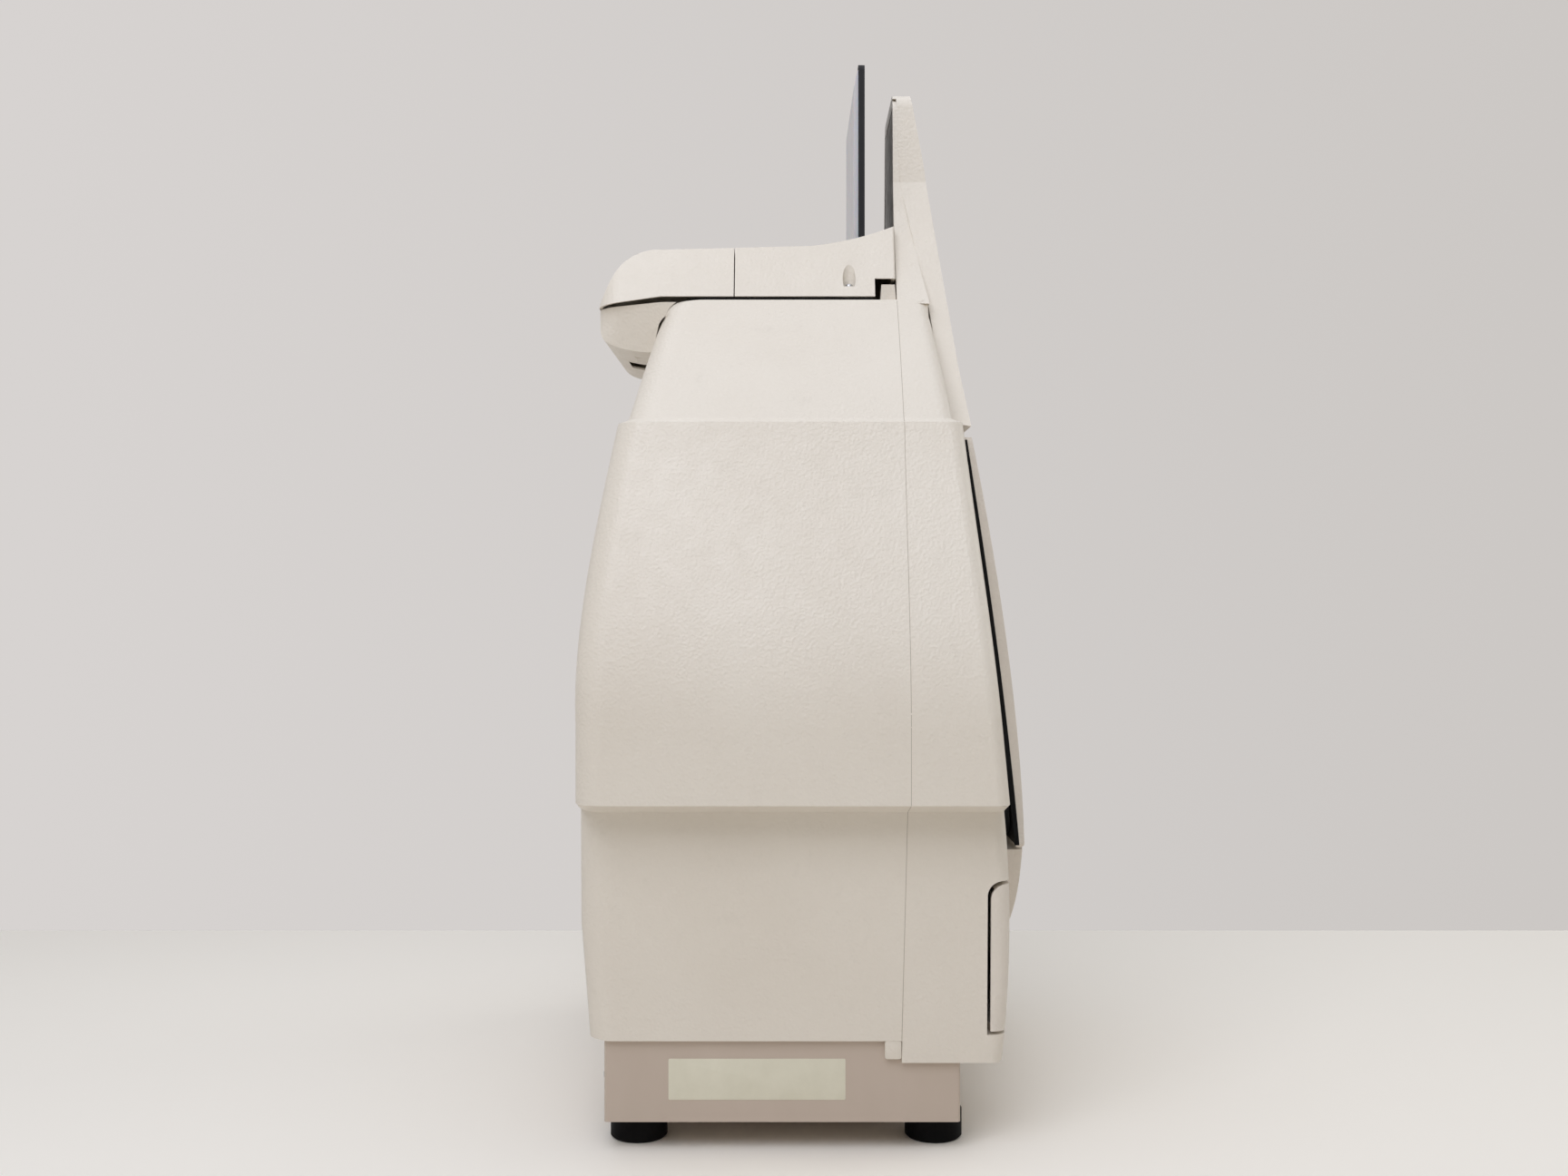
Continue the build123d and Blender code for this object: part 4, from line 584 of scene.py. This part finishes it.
# Black edge trim round the rear of the door's sides
door_low, door_height = 0.254, 0.363
door_half_low, door_half_high = 0.215, 0.185
door_rear_low, door_lean, door_power = -0.178, 0.043, 1.1
trim_start, trim_share, trim_levels = 0.006, 0.988, 30
trim_depth, trim_swell = 0.0036, 0.0019
trim_proud, trim_lip, trim_wall = 0.0004, 0.003, 0.0002
for side, name in ((-1, "left"), (1, "right")):
    trim = bmesh.new()
    trim_rings = []
    for step in range(trim_levels + 1):
        rise = trim_start + trim_share * step / trim_levels
        half = door_half_low + (door_half_high - door_half_low) * rise
        rear = door_rear_low + door_lean * rise ** door_power
        depth = trim_depth + trim_swell * math.sin(math.pi * rise)
        level = door_low + door_height * rise
        trim_rings.append([Vector((side * x, y, level)) for x, y in (
            (half + trim_proud, rear - depth), (half + trim_proud, rear + trim_wall),
            (half - trim_lip, rear + trim_wall), (half - trim_lip, rear - trim_wall),
            (half - trim_wall, rear - trim_wall), (half - trim_wall, rear - depth))])
    swept(trim, trim_rings)
    piece(f"door_edge_trim_{name}", trim, "door", gap_black)


# Profile of a domed screw head as shares of its radius and rise, and the taper of its recess
head_profile = ((1, -0.3), (1, 0.35), (0.93, 0.72), (0.8, 0.92), (0.68, 1))
recess_width, recess_reach, recess_depth, recess_taper = 0.16, 0.58, 0.55, 0.8
head_sides = 32


def screw_head(mesh, place, radius, rise):
    """Domed screw head on the place's XY plane, with a cross recess sunk into it."""
    slot, reach, depth = recess_width * radius, recess_reach * radius, recess_depth * rise
    cross = []
    for quarter in range(4):
        turn = Matrix.Rotation(math.radians(90 * quarter), 3, "Z")
        cross += [turn @ Vector((reach, -slot, 0)), turn @ Vector((reach, slot, 0)),
                  turn @ Vector((slot, slot, 0))]
    rings = []
    for share, level in head_profile:
        rings.append([mesh.verts.new(place @ Vector((share * radius * math.cos(turn),
                                                     share * radius * math.sin(turn),
                                                     level * rise)))
                      for turn in (2 * math.pi * index / head_sides
                                   for index in range(head_sides))])
    for low, high in zip(rings, rings[1:]):
        for index in range(head_sides):
            after = (index + 1) % head_sides
            mesh.faces.new((low[index], low[after], high[after], high[index]))
    mesh.faces.new(rings[0][::-1])
    brim = [mesh.verts.new(place @ (spot + Vector((0, 0, rise)))) for spot in cross]
    pit = [mesh.verts.new(place @ (recess_taper * spot + Vector((0, 0, rise - depth))))
           for spot in cross]
    for index in range(len(cross)):
        after = (index + 1) % len(cross)
        mesh.faces.new((brim[index], brim[after], pit[after], pit[index]))
    mesh.faces.new(pit)
    loops = [mesh.edges.get((ring[index], ring[(index + 1) % len(ring)]))
             or mesh.edges.new((ring[index], ring[(index + 1) % len(ring)]))
             for ring in (rings[-1], brim) for index in range(len(ring))]
    bmesh.ops.triangle_fill(mesh, use_beauty=True, edges=loops)
    bmesh.ops.recalc_face_normals(mesh, faces=mesh.faces)


# Screws in the cap's recesses and on the base's rear wall
recess_x, recess_y, recess_floor = 0.1165, -0.036, 0.764
wall_screw_x, wall_screw_z = 0.230, 0.06025
screw_radius, cap_screw_rise, wall_screw_rise = 0.0035, 0.0026, 0.0021
screws = bmesh.new()
for side in (-1, 1):
    screw_head(screws, Matrix.Translation((side * recess_x, recess_y, recess_floor)),
               screw_radius, cap_screw_rise)
for x in (-wall_screw_x, 0, wall_screw_x):
    screw_head(screws, Matrix.Translation((x, base_high.y, wall_screw_z))
               @ Matrix.Rotation(math.radians(-90), 4, "X"), screw_radius, wall_screw_rise)
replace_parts(piece("screws_with_recess", screws, "root", steel_x), "casing_screws")

# Small indicator lamp over each button of the keypad
panel_lean, panel_rise = 0.0196, 0.157
keypad_y, keypad_z = -0.1261, 0.764
keypad_place = (Matrix.Translation((0, keypad_y, keypad_z))
                @ Matrix.Rotation(math.radians(90) - math.atan2(panel_lean, panel_rise), 4, "X"))
keypad_face = 0.0014
lamp_above, lamp_radius, lamp_rise = 0.0145, 0.0016, 0.0009
button_names = ("power_button", "white_light_button", "uv_light_button", "door_light_button")
for index, name in enumerate(button_names):
    button_low, button_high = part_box(name)
    lamp = bmesh.new()
    dome(lamp, keypad_place @ Matrix.Translation(
        ((button_low.x + button_high.x) / 2, lamp_above, keypad_face)), lamp_radius, lamp_rise)
    piece(f"indicator_{name}", lamp, "root",
          indicator_green if index == 0 else indicator_amber)

# Stage: a pale table that ends behind the cabinet, and a pale wall seen as the world
table_depth, table_length, table_thickness, table_x = 2.55, 6.4, 0.03, -0.625
table_corner, table_bevel = 0.05, 0.004
table_mesh = bmesh.new()
rounded_plate(table_mesh, table_depth, table_length, table_thickness, table_corner,
              Matrix.Translation((table_x, 0, -table_thickness)), bevel=table_bevel)
table_data = bpy.data.meshes.new("table")
table_mesh.to_mesh(table_data)
table_mesh.free()
table = bpy.data.objects.new("table", table_data)
bpy.context.collection.objects.link(table)
table_finish = Material("table_finish")
table_tone = table_finish.ramp(table_finish.noise(3, 2), (0.3, linear(240, 234, 225)),
                               (0.7, linear(244, 238, 229)))
table_ray = table_finish.tree.nodes.new("ShaderNodeLightPath").outputs["Is Camera Ray"]
table_finish.colour(table_finish.mix(table_ray, table_tone, linear(252, 247, 238)))
table_finish.rough(table_finish.scaled(table_finish.noise(20, 2), 0.5, 0.65))
table_data.materials.append(table_finish.material)

# Room: even light that is warmer from below and weaker from the front, and the wall as seen, with
# painted shade that darkens it towards the front
world = bpy.data.worlds.new("world")
bpy.context.scene.world = world
world.use_nodes = True
world.node_tree.nodes.clear()
room = Nodes(world.node_tree, "Generated")
wall_left, wall_front_shaded, wall_reach = linear(215, 211, 209), linear(204, 200, 197), 0.42
front_light, rear_light = linear(196, 194, 190), linear(226, 226, 226)
low_tint, high_tint = linear(255, 244, 228), linear(250, 252, 255)
room_strength = 0.59
room_light = room.mix(room.scaled(room.axis("Y"), 0, 1, -0.8, 0.8), front_light, rear_light)
room_tint = room.mix(room.scaled(room.axis("Z"), 0, 1, -0.4, 0.6), low_tint, high_tint)
# Painted shade: the seen wall darkens from the rear side to the front side
wall_seen = room.mix(room.scaled(room.axis("Y"), 0, 1, -wall_reach, wall_reach),
                     wall_front_shaded, wall_left)


def background(colour, strength):
    """Background shader of one colour output."""
    node = room.tree.nodes.new("ShaderNodeBackground")
    node.inputs["Strength"].default_value = strength
    room.tree.links.new(colour, node.inputs["Color"])
    return node.outputs["Background"]


def either(first, second):
    """1 where either output is 1."""
    node = room.tree.nodes.new("ShaderNodeMath")
    node.operation = "MAXIMUM"
    room.tree.links.new(first, node.inputs[0])
    room.tree.links.new(second, node.inputs[1])
    return node.outputs["Value"]


paths = room.tree.nodes.new("ShaderNodeLightPath").outputs
blend = room.tree.nodes.new("ShaderNodeMixShader")
output = room.tree.nodes.new("ShaderNodeOutputWorld")
seen = either(either(paths["Is Camera Ray"], paths["Is Glossy Ray"]),
              paths["Is Transmission Ray"])
lit = background(room.mix(1.0, room_light, room_tint, "MULTIPLY"), room_strength)
room.tree.links.new(seen, blend.inputs["Fac"])
room.tree.links.new(lit, blend.inputs[1])
room.tree.links.new(background(wall_seen, 1.0), blend.inputs[2])
room.tree.links.new(blend.outputs["Shader"], output.inputs["Surface"])


def area_light(name, place, target, width, height, power, colour):
    """Soft box that points at a target."""
    data = bpy.data.lights.new(name, "AREA")
    data.shape = "RECTANGLE"
    data.size = width
    data.size_y = height
    data.energy = power
    data.color = colour
    lamp = bpy.data.objects.new(name, data)
    lamp.location = place
    lamp.rotation_euler = (Vector(target) - Vector(place)).to_track_quat("-Z", "Y").to_euler()
    bpy.context.collection.objects.link(lamp)


area_light("ceiling_light", place=(-0.4, 0.1, 2.7), target=(-0.1, 0, 0.4),
           width=2.6, height=2.6, power=20, colour=(0.95, 0.99, 1.10))
area_light("side_light", place=(-2.0, 0.6, 2.3), target=(-0.2, 0, 0.5),
           width=1.8, height=1.5, power=29, colour=(0.97, 0.99, 1.08))
area_light("front_light", place=(0.9, -2.7, 1.5), target=(0, -0.1, 0.5),
           width=1.8, height=1.5, power=13, colour=(1.0, 0.99, 0.97))

bpy.context.scene.view_settings.view_transform = "Standard"
